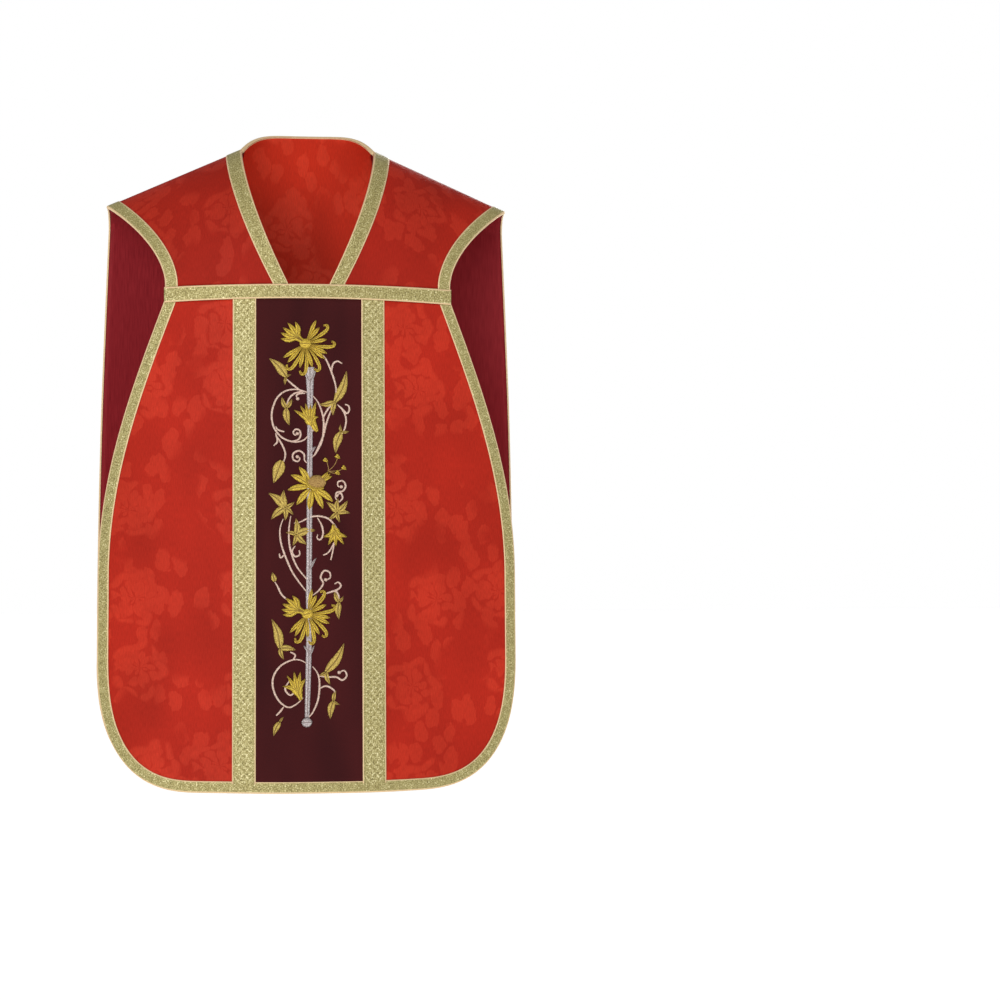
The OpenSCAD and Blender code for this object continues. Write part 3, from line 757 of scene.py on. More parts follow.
def yoke_galloon(side, word):
    """The broad galloon from the cross up to the nape, drawn in towards the neck."""
    bm = bmesh.new()
    length = 180

    def spots(u, v):
        cut = u * GALLOON_W if side < 0 else (1 - u) * GALLOON_W
        height = mix(ARM_TOP + GALLOON_W - cut, -NECK_BAND_UP, v)
        draw = smooth(-height / YOKE_Z)
        inner = mix(YOKE_COLUMN_TOP, BACK_COLUMN_HALF, draw)
        outer = mix(NECK_W / 2, GALLOON_HALF, draw)
        reach = mix(inner, outer, u) if side > 0 else -mix(outer, inner, u)
        return u * GALLOON_W, v * length, reach, height

    def place(u, v):
        across, along, a, b = spots(u, v)
        return on_back(a, b, GALLOON_LIFT + braid_rise(across, along, GALLOON_W))

    def flat(u, v):
        across, along, _, _ = spots(u, v)
        return across * MM, along * MM

    patch(bm, 22, 105, place, flat)
    name = "yoke_galloon_" + word
    finish_piece(name, bm, GALLOON, "shoulders", [name], "galloon", GALLOON_T)


for side, word in BACK_LEFT_AND_RIGHT:
    yoke_galloon(side, word)

BRAID_LIFT = 0.9
BRAID_CROWN = 0.35
BRAID_BACK = -4.9
FACE_SHARE = 0.8


def edge_profile(u, width):
    """(distance in from the edge, lift, distance across) of a narrow braid that wraps round an edge."""
    if u < FACE_SHARE:
        share = u / FACE_SHARE
        rise = BRAID_CROWN * math.sin(math.pi * min(1, 8 * min(share, 1.06 - share)) / 2)
        return width * (1 - share), BRAID_LIFT + rise, width * share
    share = (u - FACE_SHARE) / (1 - FACE_SHARE)
    inward = 3 * max(0, share - 0.7) - BRAID_LIFT * math.sin(math.pi * share)
    return inward, mix(BRAID_LIFT, BRAID_BACK, share), width


def outline_run(row, steps=260, hem_steps=60):
    """An outline's right side, hem and left side, as places from the top right round to the top left."""
    right = [row(i / steps) for i in range(steps + 1)]
    hem_half, hem = right[-1]
    middle = [(hem_half * (1 - 2 * i / hem_steps), hem) for i in range(1, hem_steps)]
    left = [(-a, b) for a, b in reversed(right)]
    return right + middle + left


def spaced(points, count):
    """Places spaced evenly along a run, each with its direction."""
    lengths = [0]
    for a, b in zip(points, points[1:]):
        lengths.append(lengths[-1] + math.dist(a, b))
    out = []
    k = 0
    for i in range(count + 1):
        goal = lengths[-1] * i / count
        while k < len(points) - 2 and lengths[k + 1] < goal:
            k += 1
        span = max(1e-9, lengths[k + 1] - lengths[k])
        share = (goal - lengths[k]) / span
        out.append((mix(points[k][0], points[k + 1][0], share), mix(points[k][1], points[k + 1][1], share)))
    reach = 2
    runs = []
    for i, spot in enumerate(out):
        a = out[max(0, i - reach)]
        b = out[min(count, i + reach)]
        size = max(1e-9, math.dist(a, b))
        runs.append((spot, ((b[0] - a[0]) / size, (b[1] - a[1]) / size)))
    return runs, lengths[-1]


EDGE_CELL = 2.4
NARROW_T = 0.6


def edge_braid(name, face, points, where, nodes):
    """A narrow braid along a run of places, its outer edge on the run, with the cloth at the run's right."""
    rough = sum(math.dist(a, b) for a, b in zip(points, points[1:]))
    count = round(rough / EDGE_CELL)
    runs, length = spaced(points, count)
    bm = bmesh.new()

    def spots(u, v):
        (a, b), (da, db) = runs[round((1 - v) * count)]
        inward, lift, across = edge_profile(u, EDGE_W)
        lift += 0.12 * math.sin((1 - v) * length * 1.3) if 0.1 < u < 0.7 else 0
        return a + db * inward, b - da * inward, lift, across, (1 - v) * length

    def place(u, v):
        a, b, lift, _, _ = spots(u, v)
        return face(a, b, lift)

    def flat(u, v):
        _, _, _, across, along = spots(u, v)
        return across * MM, along * MM

    patch(bm, 20, count, place, flat)
    finish_piece(name, bm, EDGE_GALLOON, where, nodes, "galloon", NARROW_T)


BACK_EDGE_NODES = ["back_edge", "middle_edge_left", "middle_edge_right", "yoke_edge_left", "yoke_edge_right"]
edge_braid("front_edge", on_front, outline_run(front_row), "front", ["front_edge"])
edge_braid("back_edge", on_back, outline_run(back_row), "back", BACK_EDGE_NODES)


def chest_band():
    """The braid across the chest, which covers the seam between the shoulders and the skirt."""
    bm = bmesh.new()
    half = CHEST_W / 2 + 1
    lift = 2.8

    def place(u, v):
        arch = 1 - (2 * u - 1) ** 2
        low = mix(-FRONT_FOLD - 6.5, -FRONT_FOLD - 1, arch)
        high = mix(-CHEST_Z - 4.5, -CHEST_Z - 1, arch)
        rise = BRAID_CROWN * math.sin(math.pi * min(1, 8 * min(v, 1 - v)) / 2)
        return on_front(mix(-half, half, u), mix(low, high, v), lift + rise)

    def flat(u, v):
        return v * EDGE_W * MM, mix(-half, half, u) * MM

    patch(bm, 220, 14, place, flat)
    finish_piece("chest_band", bm, EDGE_GALLOON, "shoulders", ["chest_band"], "galloon", 2.2)


def chest_backing():
    """The doubled lining behind the chest band, to which the shoulders and the front are sewn."""
    bm = bmesh.new()
    half = CHEST_W / 2 - 1
    low = -FRONT_FOLD + 0.2
    high = -CHEST_Z - 6.2

    def place(u, v):
        return on_front(mix(-half, half, u), mix(low, high, v), 0)

    def flat(u, v):
        return mix(-half, half, u) * MM, v * CHEST_BAND_H * MM

    patch(bm, 60, 6, place, flat)
    finish_piece("chest_backing", bm, LINING, "shoulders", ["chest_backing"], "lining", CLOTH_T)


chest_band()
chest_backing()


def shoulder_braid(name, side, at_neck, width, material):
    """The braid down a shoulder's neck or armhole edge."""
    bm = bmesh.new()
    # The edges run aslant over the shoulder's own lines, so the braid takes this much more across
    slant = 1.12

    def spots(u, v):
        up = mix(SHOULDER_FOOT, SHOULDER_TOP, v)
        span = shoulder(1, up).x - shoulder(0.0001, up).x
        towards_edge = u if (side > 0) != at_neck else 1 - u
        inward, lift, across = edge_profile(towards_edge, width)
        share = max(-0.004, inward * slant / span)
        reach = share if at_neck else 1 - share
        return side * max(0.0002, reach), up, lift, across

    def place(u, v):
        a, b, lift, _ = spots(u, v)
        return on_shoulder(a, b, lift)

    def flat(u, v):
        _, _, _, across = spots(u, v)
        return across * MM, v * 0.32

    patch(bm, 20, 120, place, flat)
    finish_piece(name, bm, material, "shoulders", [name], "galloon", NARROW_T)


for side, word in LEFT_AND_RIGHT:
    shoulder_braid("neck_band_" + word, side, True, NECK_BAND_W, NECK_GALLOON)
    shoulder_braid("armhole_band_" + word, side, False, EDGE_W, EDGE_GALLOON)


def nape_band():
    """The braid round the back of the neck, rounded off where it meets the front's neck braids."""
    bm = bmesh.new()
    half = NECK_W / 2 + NECK_BAND_W
    face_lift = 2.0
    inner_lift = -5.1

    def place(u, v):
        inward, lift, _ = edge_profile(v, NECK_BAND_W)
        across = mix(-half, half, u)
        past = max(0, abs(across) - NECK_W / 2) / NECK_BAND_W
        depth = NECK_BAND_UP * math.sqrt(max(0.01, 1 - past * past))
        up = -max(0.02, inward / NECK_BAND_W * depth)
        wrapped = (BRAID_LIFT - lift) / (BRAID_LIFT - BRAID_BACK)
        spot = on_back(across, up, mix(face_lift, inner_lift, wrapped))
        return spot + Vector((0, 0, max(0, -inward) * MM))

    def flat(u, v):
        _, _, across = edge_profile(v, NECK_BAND_W)
        return across * MM, mix(-half, half, u) * 1.25 * MM

    patch(bm, 130, 20, place, flat)
    finish_piece("neck_band_back", bm, NECK_GALLOON, "shoulders", ["neck_band_back"], "galloon", 0.8)


def neck_facing():
    """The damask facing inside the back, which is what shows through the neck opening."""
    bm = bmesh.new()
    foot = -CHEST_Z - 5

    def spot(u, v):
        height = mix(foot, -0.5, v)
        half = mix(NECK_W / 2 - 1, GALLOON_HALF, smooth(-height / YOKE_Z))
        return half * (2 * u - 1), height

    def place(u, v):
        return on_back(*spot(u, v), -CLOTH_T - 0.2)

    def flat(u, v):
        across, height = spot(u, v)
        return across * MM, height * 1.2 * MM

    patch(bm, 56, 60, place, flat)
    nodes = ["neck_facing", "back_facing"]
    # The facing's damask is the brighter copy, with painted light
    finish_piece("neck_facing", bm, LIT_FACING_DAMASK, "shoulders", nodes, "damask", 0.6)


nape_band()
neck_facing()

# ---- Orphreys ----


def ground(name, face, low, high, lift, where, nodes, columns=40, rows=100):
    """A rectangle of orphrey ground between two places."""
    bm = bmesh.new()

    def place(u, v):
        return face(mix(low[0], high[0], u), mix(low[1], high[1], v), lift)

    def flat(u, v):
        return mix(low[0], high[0], u) * MM, mix(low[1], high[1], v) * MM

    patch(bm, columns, rows, place, flat)
    finish_piece(name, bm, ORPHREY, where, nodes, "orphrey", COLUMN_T)


TUCK = 3
front_low = (-FRONT_COLUMN_HALF - TUCK, -FRONT_L + EDGE_W - TUCK)
front_high = (FRONT_COLUMN_HALF + TUCK, -FRONT_FOLD)
back_low = (-BACK_COLUMN_HALF - TUCK, -BACK_L + EDGE_W - TUCK)
back_high = (BACK_COLUMN_HALF + TUCK, ARM_FOOT)
bar_low = (-ARM_END + GALLOON_W - TUCK, ARM_FOOT - TUCK)
bar_high = (ARM_END - GALLOON_W + TUCK, ARM_TOP + TUCK)
bar_nodes = ["cross_arm_left", "cross_arm_right", "cross_column"]
ground("front_column", on_front, front_low, front_high, COLUMN_LIFT, "front", ["front_column"])
ground("back_column", on_back, back_low, back_high, COLUMN_LIFT, "back", ["back_column"])
ground("cross_bar", on_back, bar_low, bar_high, COLUMN_LIFT - 0.05, "shoulders", bar_nodes, 90, 40)


def yoke_column():
    """The back column above the cross, drawn in towards the neck."""
    bm = bmesh.new()

    def spot(u, v):
        height = mix(ARM_TOP, TUCK - NECK_BAND_UP, v)
        half = mix(YOKE_COLUMN_TOP, BACK_COLUMN_HALF, smooth(-height / YOKE_Z)) + 2
        return half * (2 * u - 1), height

    def place(u, v):
        return on_back(*spot(u, v), COLUMN_LIFT + 0.05)

    def flat(u, v):
        across, height = spot(u, v)
        return across * MM, height * MM

    patch(bm, 40, 60, place, flat)
    finish_piece("yoke_column", bm, ORPHREY, "shoulders", ["yoke_column"], "orphrey", COLUMN_T)


yoke_column()

# ---- Embroidery ----
# A motif's places are (across, up) about its own origin; a warp carries them onto the cloth.


def smooth_step(p, q, r, s, t):
    """A place between q and r on the smooth line through p, q, r and s."""
    bend = (2 * p - 5 * q + 4 * r - s) * t * t + (3 * q - p - 3 * r + s) * t ** 3
    return 0.5 * (2 * q + (r - p) * t + bend)


def smooth_line(points, per_span=8):
    """A line that passes smoothly through its points."""
    if len(points) < 3:
        return points
    ends = [points[0]] + list(points) + [points[-1]]
    line = []
    for a, b, c, d in zip(ends, ends[1:], ends[2:], ends[3:]):
        for i in range(per_span):
            line.append(tuple(smooth_step(p, q, r, s, i / per_span) for p, q, r, s in zip(a, b, c, d)))
    return line + [points[-1]]


def along_list(values, t):
    """The value at a share of the way along a list."""
    place = t * (len(values) - 1)
    i = min(len(values) - 2, int(place)) if len(values) > 1 else 0
    return mix(values[i], values[min(len(values) - 1, i + 1)], place - i)


def stitched(bm, warp, points, widths, crown=1.5, groove=0.0, base=0.35, straight=False, pitch=1.9):
    """Adds one padded run of stitching along a line; widths are its half widths, evenly spaced."""
    line = [warp.at(p) for p in (points if straight else smooth_line(points))]
    rough = sum(math.dist(a, b) for a, b in zip(line, line[1:]))
    count = max(5, round(rough / pitch))
    runs, length = spaced(line, count)
    columns = 8 if groove else 6

    def spots(u, v):
        (a, b), (da, db) = runs[round(v * count)]
        half = along_list(widths, v)
        side = 2 * u - 1
        off = side * half
        height = crown * (1 - abs(side) ** 2.6) * min(1, half / 2.2)
        height -= groove * math.exp(-((side / 0.2) ** 2)) * min(1, half / 2.5)
        return a + db * off, b - da * off, base + height, off, v * length

    def place(u, v):
        a, b, lift, _, _ = spots(u, v)
        return warp.face(a, b, warp.lift + lift)

    def flat(u, v):
        _, _, _, across, along = spots(u, v)
        return across * MM, along * MM

    patch(bm, columns, count, place, flat)


class Warp:
    """Carries a motif's places onto a face: turned, mirrored, sized and moved, then bent as asked."""

    def __init__(self, face, lift, bend=None, middle=(0, 0), turn=0, flip=1, size=1):
        self.face = face
        self.lift = lift
        self.bend = bend or (lambda a, b: (a, b))
        self.middle = middle
        self.turn = math.radians(turn)
        self.flip = flip
        self.size = size

    def at(self, spot):
        x = spot[0] * self.flip * self.size
        y = spot[1] * self.size
        c, s = math.cos(self.turn), math.sin(self.turn)
        return self.bend(self.middle[0] + x * c - y * s, self.middle[1] + x * s + y * c)

    def moved(self, middle, turn=0, flip=1, size=1):
        """A motif placed within this one; the flip of the whole carries into it."""
        x, y = middle
        return Warp(self.face, self.lift, lambda a, b: self.at((a, b)), (x, y), turn, flip, size)


def ray(angle, length, start):
    a = math.radians(angle)
    return [(math.cos(a) * mix(start, length, t), math.sin(a) * mix(start, length, t)) for t in (0, 0.5, 1)]


def petal(bm, warp, angle, length, hook):
    """A narrow petal from the middle; a hooked one, 1 or -1, curls over at its tip."""
    a = math.radians(angle)
    shape = [(0.12, 0), (0.45, 0), (0.8, 0), (1, 0)]
    widths = (0.9, 1.7, 2.8, 3.7, 3.0, 0.5)
    if hook:
        shape = [(0.12, 0), (0.45, -0.02), (0.78, 0), (0.95, 0.06), (0.97, 0.17), (0.86, 0.21)]
        widths = (0.9, 1.6, 2.4, 3.3, 3.0, 2.6, 1.6)
    points = []
    for out, aside in shape:
        aside *= hook
        x = out * math.cos(a) - aside * math.sin(a)
        y = out * math.sin(a) + aside * math.cos(a)
        points.append((length * x, length * y))
    stitched(bm, warp, points, widths, crown=2.0, groove=0.8, base=1.0)


def boss(bm, warp, middle, half_long, half_wide, crown=2.6, turn=0, base=0.9):
    """An oval pad of stitching."""
    a = math.radians(turn)
    x, y = middle
    dx, dy = half_long * math.cos(a), half_long * math.sin(a)
    widths = [half_wide * math.sqrt(max(0.02, 1 - (i / 4 - 1) ** 2)) for i in range(9)]
    line = [(x - dx, y - dy), (x, y), (x + dx, y + dy)]
    stitched(bm, warp, line, widths, crown=crown, base=base, pitch=1.3)


# Each petal's angle, length and hook
DAISY_PETALS = [
    (66, 42, 0), (50, 35, 0), (32, 46, 1), (12, 35, 0), (-8, 47, 1), (-24, 38, 0), (-38, 40, 0),
    (-57, 48, -1), (-74, 40, 0), (-88, 50, -1), (-103, 40, 0), (-117, 50, -1), (-133, 42, 0), (-147, 42, 0),
]
# The broad petal's tips, as angles and lengths
DAISY_FAN = [(168, 40), (156, 43), (144, 44), (130, 44), (115, 39)]


def daisy(bm, warp):
    """A flower of narrow curled petals with one broad, many-tipped petal that stands up."""
    for angle, length, hook in DAISY_PETALS:
        petal(bm, warp, angle, length, hook)
    for angle, length in DAISY_FAN:
        a = math.radians(angle)
        root = math.radians(mix(141, angle, 0.35))
        points = [(0, 0), (17 * math.cos(root), 17 * math.sin(root)),
                  (length * 0.72 * math.cos(a), length * 0.72 * math.sin(a)),
                  (length * math.cos(a), length * math.sin(a))]
        stitched(bm, warp, points, (2.6, 3.2, 3.4, 4.2, 4.6, 3.2, 0.5), crown=2.3, base=1.2)
    boss(bm, warp, (0, 0), 9.5, 8.5, 3.4)


def cup_flower(bm, warp, base, tips, plump=4.6):
    """A half-open flower: petals that rise together from a full cup and part into tips."""
    mx = sum(t[0] for t in tips) / len(tips)
    my = sum(t[1] for t in tips) / len(tips)
    lean = math.degrees(math.atan2(my - base[1], mx - base[0]))
    cup = (mix(base[0], mx, 0.3), mix(base[1], my, 0.3))
    boss(bm, warp, cup, plump * 2.1, plump * 1.9, 2.2, lean, base=0.8)
    for i, tip in enumerate(tips):
        belly = (mix(base[0], mix(mx, tip[0], 0.62), 0.42), mix(base[1], mix(my, tip[1], 0.3), 0.42))
        widths = (2.0, plump, plump * 0.9, 2.6, 0.5)
        stitched(bm, warp, [base, belly, tip], widths, crown=2.2, base=1.0 + 0.1 * i)


def lobe(bm, warp, start, tip, plump=None, bow=0.06):
    """One leaf lobe with a groove down its middle."""
    length = math.dist(start, tip)
    half = plump or min(7.4, length * 0.2)
    dx, dy = tip[0] - start[0], tip[1] - start[1]
    middle = (start[0] + dx * 0.5 - dy * bow, start[1] + dy * 0.5 + dx * bow)
    widths = [half * w for w in (0.35, 0.9, 1.0, 0.78, 0.45, 0.07)]
    stitched(bm, warp, [start, middle, tip], widths, crown=1.7, groove=1.3, base=0.4)


def leaf(bm, warp, joint, tips):
    for i, tip in enumerate(tips):
        lobe(bm, warp, joint, tip, bow=0.07 if i % 2 else -0.07)


SEED_FLOWER_TIPS = [(-30, 19), (-35, -5), (-21, -29), (-1, -38), (21, -35), (37, -24), (-17, 32)]


def seed_flower(flowers, seeds, warp):
    """A spent flower whose petals hang back from a round seed head with a tuft."""
    for i, tip in enumerate(SEED_FLOWER_TIPS):
        root = (tip[0] * 0.12 + 3, tip[1] * 0.12)
        middle = (tip[0] * 0.55 + 2, tip[1] * 0.55 + 2)
        widths = (1.6, 4.4, 5.2, 4.2, 0.5)
        stitched(flowers, warp, [root, middle, tip], widths, crown=2.1, groove=0.9, base=1.0)
    for spread in (-16, 0, 16):
        a = math.radians(40 + spread)
        tip = (20 + 17 * math.cos(a), 10 + 17 * math.sin(a))
        stitched(flowers, warp, [(18, 10), tip], (4.5, 3.8, 2.6, 0.5), crown=2.0, base=1.1)
    boss(seeds, warp, (11, 7), 15, 12, 3.0, base=1.2)
    stitched(flowers, warp, [(-5, 14), (-3, 3), (8, -4), (22, -2)], (1.4, 2.6, 2.6, 1.4), crown=1.6, base=3.2)


def loose_seeds(flowers, threads, warp, spots, source):
    """Small seeds blown from a head on fine threads."""
    for x, y in spots:
        grain = [(x - 3.6, y + 2.6), (x + 3.4, y - 2.8)]
        stitched(flowers, warp, grain, (3.2, 3.4, 2.2, 0.4), crown=1.6)
        middle = (mix(source[0], x, 0.5) + 2, mix(source[1], y, 0.5) - 2)
        stitched(threads, warp, [source, middle, (x, y)], (0.5, 0.5), crown=0.6, base=0.2)


def vine_motif():
    """The climbing vine's tendrils, leaves (joint, tips) and cup flowers (base, tips).

    Places are across the column and down from its first line."""
    tendrils = [
        [(-36, 131), (-25, 141), (-12, 151)],
        [(13, 353), (20, 366), (22, 379), (18, 388), (12.5, 386), (13.5, 380)],
        [(4, 156), (-10, 150), (-25, 148), (-40, 152), (-52, 164), (-59, 186), (-56, 208), (-43, 225),
         (-25, 232), (-10, 230), (0, 221), (8, 212)],
        [(4, 156), (15, 170), (22.5, 192.5), (23, 212), (20, 232), (11, 250), (3, 258)],
        [(-36, 174), (-31, 162), (-22, 154), (-8, 151)],
        [(-18, 163), (-20, 158), (-15, 154.5), (-6, 154)],
        [(-28, 231), (-18, 229), (-13.5, 222), (-15, 214), (-21, 212), (-25, 217), (-22, 221.5),
         (-18.5, 219)],
        [(-53, 207), (-49, 213), (-39, 216)],
        [(-53, 218), (-50, 231), (-56, 238.5)],
        [(-52, 222), (-43, 236), (-37.5, 251), (-40, 264)],
        [(10, 84), (25.5, 97), (36, 120), (42.5, 142), (43, 158)],
        [(36, 120), (38, 107.5), (45, 102), (53, 106)],
        [(41, 170), (32, 177), (24, 190), (22, 199)],
        [(40, 173), (34, 184), (27, 204), (22, 224), (9, 252)],
        [(45, 172), (52, 178), (60, 186), (64, 181), (63, 174), (57, 171.5)],
        [(46, 173), (55, 183), (59, 196), (57, 210), (52, 220)],
        [(0, 268), (-7, 262), (-8, 252), (-16, 246.5), (-25, 251), (-25, 260), (-18, 263.5), (-14.5, 258.5),
         (-18.5, 256)],
        [(48, 328), (42, 322), (44, 313), (53, 311), (58, 303), (54, 295), (46, 296), (46, 303), (51, 304)],
        [(47, 329), (53, 322), (50, 314), (44, 318)],
        [(-24, 362), (-14, 360), (3, 352), (18, 351), (32, 356), (42, 368), (52, 385)],
        [(-41, 355), (-46, 372), (-44, 395), (-35, 421), (-24, 444), (-5, 470)],
        [(-29, 350), (-32, 375), (-30, 402), (-20, 430), (-3, 452)],
        [(-22, 398), (-27, 407), (-22, 415), (-15, 412), (-16, 405)],
        [(-39, 412), (-45, 417), (-47, 410)],
        [(-56, 452), (-50, 462), (-41, 478), (-20, 492)],
        [(3, 478), (14, 470), (22, 458), (18, 448), (23, 438), (32, 440), (33, 449), (26, 452)],
        [(20, 476), (32, 472), (44, 468), (50, 462), (46, 456), (40, 459)],
        [(28, 474), (40, 470), (46, 476), (47, 486)],
        [(-2, 586), (-14, 579), (-28, 579), (-45, 588), (-56, 604), (-57, 622), (-49, 641), (-34, 653),
         (-20, 648), (-10, 638)],
        [(5, 589), (13, 600), (16, 615), (14, 640), (6, 660), (-1, 669)],
        [(14, 604), (28, 606), (42, 606), (52, 611), (59, 604), (55, 596), (47, 599)],
        [(-26, 579), (-22, 571), (-30, 566)],
        [(15, 625), (26, 620), (38, 626), (41, 634)],
        [(-40, 652), (-46, 660), (-52, 666)],
        [(-30, 610), (-38, 624), (-30, 634), (-22, 628)],
    ]
    leaves = [
        ((-36, 128), [(-63, 98), (-28, 124), (-38, 141)]),
        ((-36, 178), [(-31, 206), (-43, 160), (-27, 163)]),
        ((41, 168), [(60, 118), (16, 172), (38, 190)]),
        ((51, 216), [(42, 250), (50, 204), (64, 215)]),
        ((-38, 337), [(-64, 314), (-40, 309), (-23, 328), (-25, 349), (-60, 356), (-38, 358)]),
        ((44, 345), [(27, 328), (46, 322), (61, 326), (65, 346), (49, 361), (30, 356)]),
        ((-20, 380), [(-21, 354), (10, 373), (-3, 396), (-26, 398), (-37, 377)]),
        ((47, 488), [(47, 515), (40, 470), (54, 478)]),
        ((-46, 560), [(-59, 514), (-21, 563), (-40, 578)]),
        ((26, 598), [(55, 553), (14, 604), (33, 618)]),
        ((38, 644), [(33, 672), (42, 627), (48, 650)]),
        ((-46, 676), [(-56, 698), (-40, 668)]),
    ]
    cups = [
        ((4, 206), [(-24, 181), (-14, 174), (-6, 170), (2, 172), (11, 168), (15, 192)]),
        ((40, 372), [(22, 384), (30, 397), (42, 399), (55, 396), (60, 384)]),
        ((-17, 634), [(-42, 620), (-35, 603), (-24, 597), (-14, 597), (-6, 608)]),
    ]
    return tendrils, leaves, cups


STEM_SPURS = [
    ((0, 134), (-7, 118)), ((2, 136), (12, 114)), ((-1, 436), (11, 417)),
    ((0, 566), (-9, 556)), ((-1, 572), (8, 556)), ((1, 250), (11, 239)),
]
SCROLL_ENDS = [(-18, 163), (-18.5, 219), (-18.5, 256), (51, 304), (44, 318), (26, 452), (47, 599)]
CUP_HEARTS = [((4, 200), (13, 216), 6.5), ((-17, 630), (-13, 642), 5.5), ((40, 376), (38, 364), 5)]
BLOWN_SEEDS = [(27, 262), (46, 256), (56, 274), (46, 282)]
TENDRIL_HALVES = (0.8, 1.4, 1.5, 1.4, 1.0)


def down(points):
    """Turns distances down a column into heights."""
    return [(x, -d) for x, d in points]


def vine_stem(bm, warp):
    stitched(bm, warp, down([(1.5, 112), (1.6, 190), (1, 261)]), (7.5, 5.6, 4.6, 4.4, 4.4, 4.4), 1.5)
    stitched(bm, warp, down([(1, 259), (0.6, 330), (-0.5, 470)]), (4.4, 4.4), 1.5)
    stitched(bm, warp, down([(-0.6, 468), (-0.5, 549), (-3.5, 669)]), (4.8, 4.5, 4.4, 4.4, 3.6), 1.5)
    boss(bm, warp, (-4, -677), 8.4, 7.6, 3.2)
    for spur in STEM_SPURS:
        stitched(bm, warp, down(spur), (3.0, 2.4, 0.5), 1.6)


def finish_threads(prefix, where, pieces):
    """Finishes pieces of embroidery, each (kind, mesh, material, slot, CAD node or None, thickness)."""
    for kind, bm, material, slot, node, thickness in pieces:
        finish_piece(prefix + kind, bm, material, where, [node] if node else [], slot, thickness)


def vine(where, face, origin, squeeze=None):
    """Embroiders the climbing vine on a column, from a height down.

    squeeze is (height, share): what lies below the height is drawn together to that share."""

    def bend(x, y):
        if squeeze and y < squeeze[0]:
            y = squeeze[0] + (y - squeeze[0]) * squeeze[1]
        return x, origin + y

    warp = Warp(face, COLUMN_LIFT, bend)
    stem, fine, foliage, gold, seeds = (bmesh.new() for _ in range(5))
    tendrils, leaves, cups = vine_motif()
    vine_stem(stem, warp)
    for line in tendrils:
        stitched(fine, warp, down(line), (0.8, 1.5, 1.65, 1.5, 1.0), 1.5, base=0.2)
    for x, d in SCROLL_ENDS:
        boss(fine, warp, (x, -d), 3.0, 2.9, 1.9)
    for joint, tips in leaves:
        leaf(foliage, warp, (joint[0], -joint[1]), down(tips))
    lobe(foliage, warp, (-43, -262), (-56, -298), 9.5, 0.0)
    lobe(foliage, warp, (-54, -455), (-58, -440), 4.5, 0.0)
    daisy(gold, warp.moved((-5.6, -74.4)))
    daisy(gold, warp.moved((-3, -506), turn=14, size=0.96))
    seed_flower(gold, seeds, warp.moved((1, -304)))
    for base, tips in cups:
        cup_flower(gold, warp, (base[0], -base[1]), down(tips))
    for tip in ((22, 413), (34, 421)):
        stitched(fine, warp, down([(40, 392), (mix(40, tip[0], 0.5), 408), tip]), (1.2, 1.2), 1.2)
    for base, tip, plump in CUP_HEARTS:
        stitched(gold, warp, down([base, tip]), (plump, plump * 0.8, 2.2), 2.2, base=0.9)
    loose_seeds(gold, seeds, warp, down(BLOWN_SEEDS), (30, -279))
    prefix = where + "_vine_"
    finish_threads(prefix, where, [
        ("stem", stem, SILVER, "silver_thread", prefix + "stem", 0.5),
        ("tendrils", fine, PALE, "pale_thread", prefix + "tendrils", 0.4),
        ("leaves", foliage, LEAF_GOLD, "gold_thread", prefix + "leaves", 0.5),
        ("flowers", gold, PETAL_GOLD, "gold_thread", prefix + "flowers", 0.5),
        ("seeds", seeds, BROWN, "gold_thread", None, 0.4),
    ])


BACK_VINE_DROP = 122.6
vine("front", on_front, -FRONT_FOLD)
vine("back", on_back, -FRONT_FOLD - BACK_VINE_DROP, (-560, 0.8))

SPRAY_TENDRILS = [
    [(-34, -70), (-26, -84), (-22, -105), (-20, -137)],
    [(-22, -102), (-20, -86), (-14, -74), (-6, -68)],
    [(-24, -92), (-34, -84), (-46, -86), (-51, -96), (-44, -104), (-36, -100), (-38, -93)],
    [(-44, -84), (-50, -78), (-46, -72)],
    [(-26, -128), (-36, -128), (-46, -122)],
    [(-20, -126), (-16, -118), (-17, -108)],
    [(29, -138), (32, -126), (40, -114), (54, -106), (66, -96), (69, -82), (62, -72), (53, -76),
     (54, -83)],
    [(44, -111), (52, -114), (57, -124)],
    [(46, -110), (46, -102)],
]
SPRAY_CUP = [(-66, -43), (-60, -33), (-50, -28), (-41, -30), (-38, -20), (-28, -48)]
SPRAY_BUD = [(41, -150), (48, -157), (56, -156), (62, -138)]


def spray():
    """The flowers above the medallion."""
    warp = Warp(on_back_seen, COLUMN_LIFT + 0.1)
    stem, fine, foliage, gold = (bmesh.new() for _ in range(4))
    stitched(stem, warp, [(0.5, -72), (0.5, -100), (0.5, -136)], (3.4, 4.4, 4.4), 2.2)
    daisy(gold, warp.moved((21.5, -53), flip=-1, size=0.96))
    cup_flower(gold, warp, (-38, -66), SPRAY_CUP, 5)
    boss(gold, warp, (-36, -64), 6, 7.5, 2.6)
    cup_flower(gold, warp, (56, -124), SPRAY_BUD, 4.2)
    boss(gold, warp, (55, -126), 6.5, 6, 2.4)
    leaf(foliage, warp, (-48, -117), [(-68, -89), (-27, -126), (-48, -134)])
    lobe(foliage, warp, (-44, -118), (-56, -103), 4)
    for line in SPRAY_TENDRILS:
        stitched(fine, warp, line, TENDRIL_HALVES, 1.4, base=0.2)
    finish_threads("yoke_spray", "shoulders", [
        ("_stem", stem, SILVER, "silver_thread", None, 0.4),
        ("_tendrils", fine, PALE, "pale_thread", None, 0.4),
        ("_leaves", foliage, LEAF_GOLD, "gold_thread", None, 0.4),
        ("", gold, PETAL_GOLD, "gold_thread", "yoke_spray", 0.5),
    ])


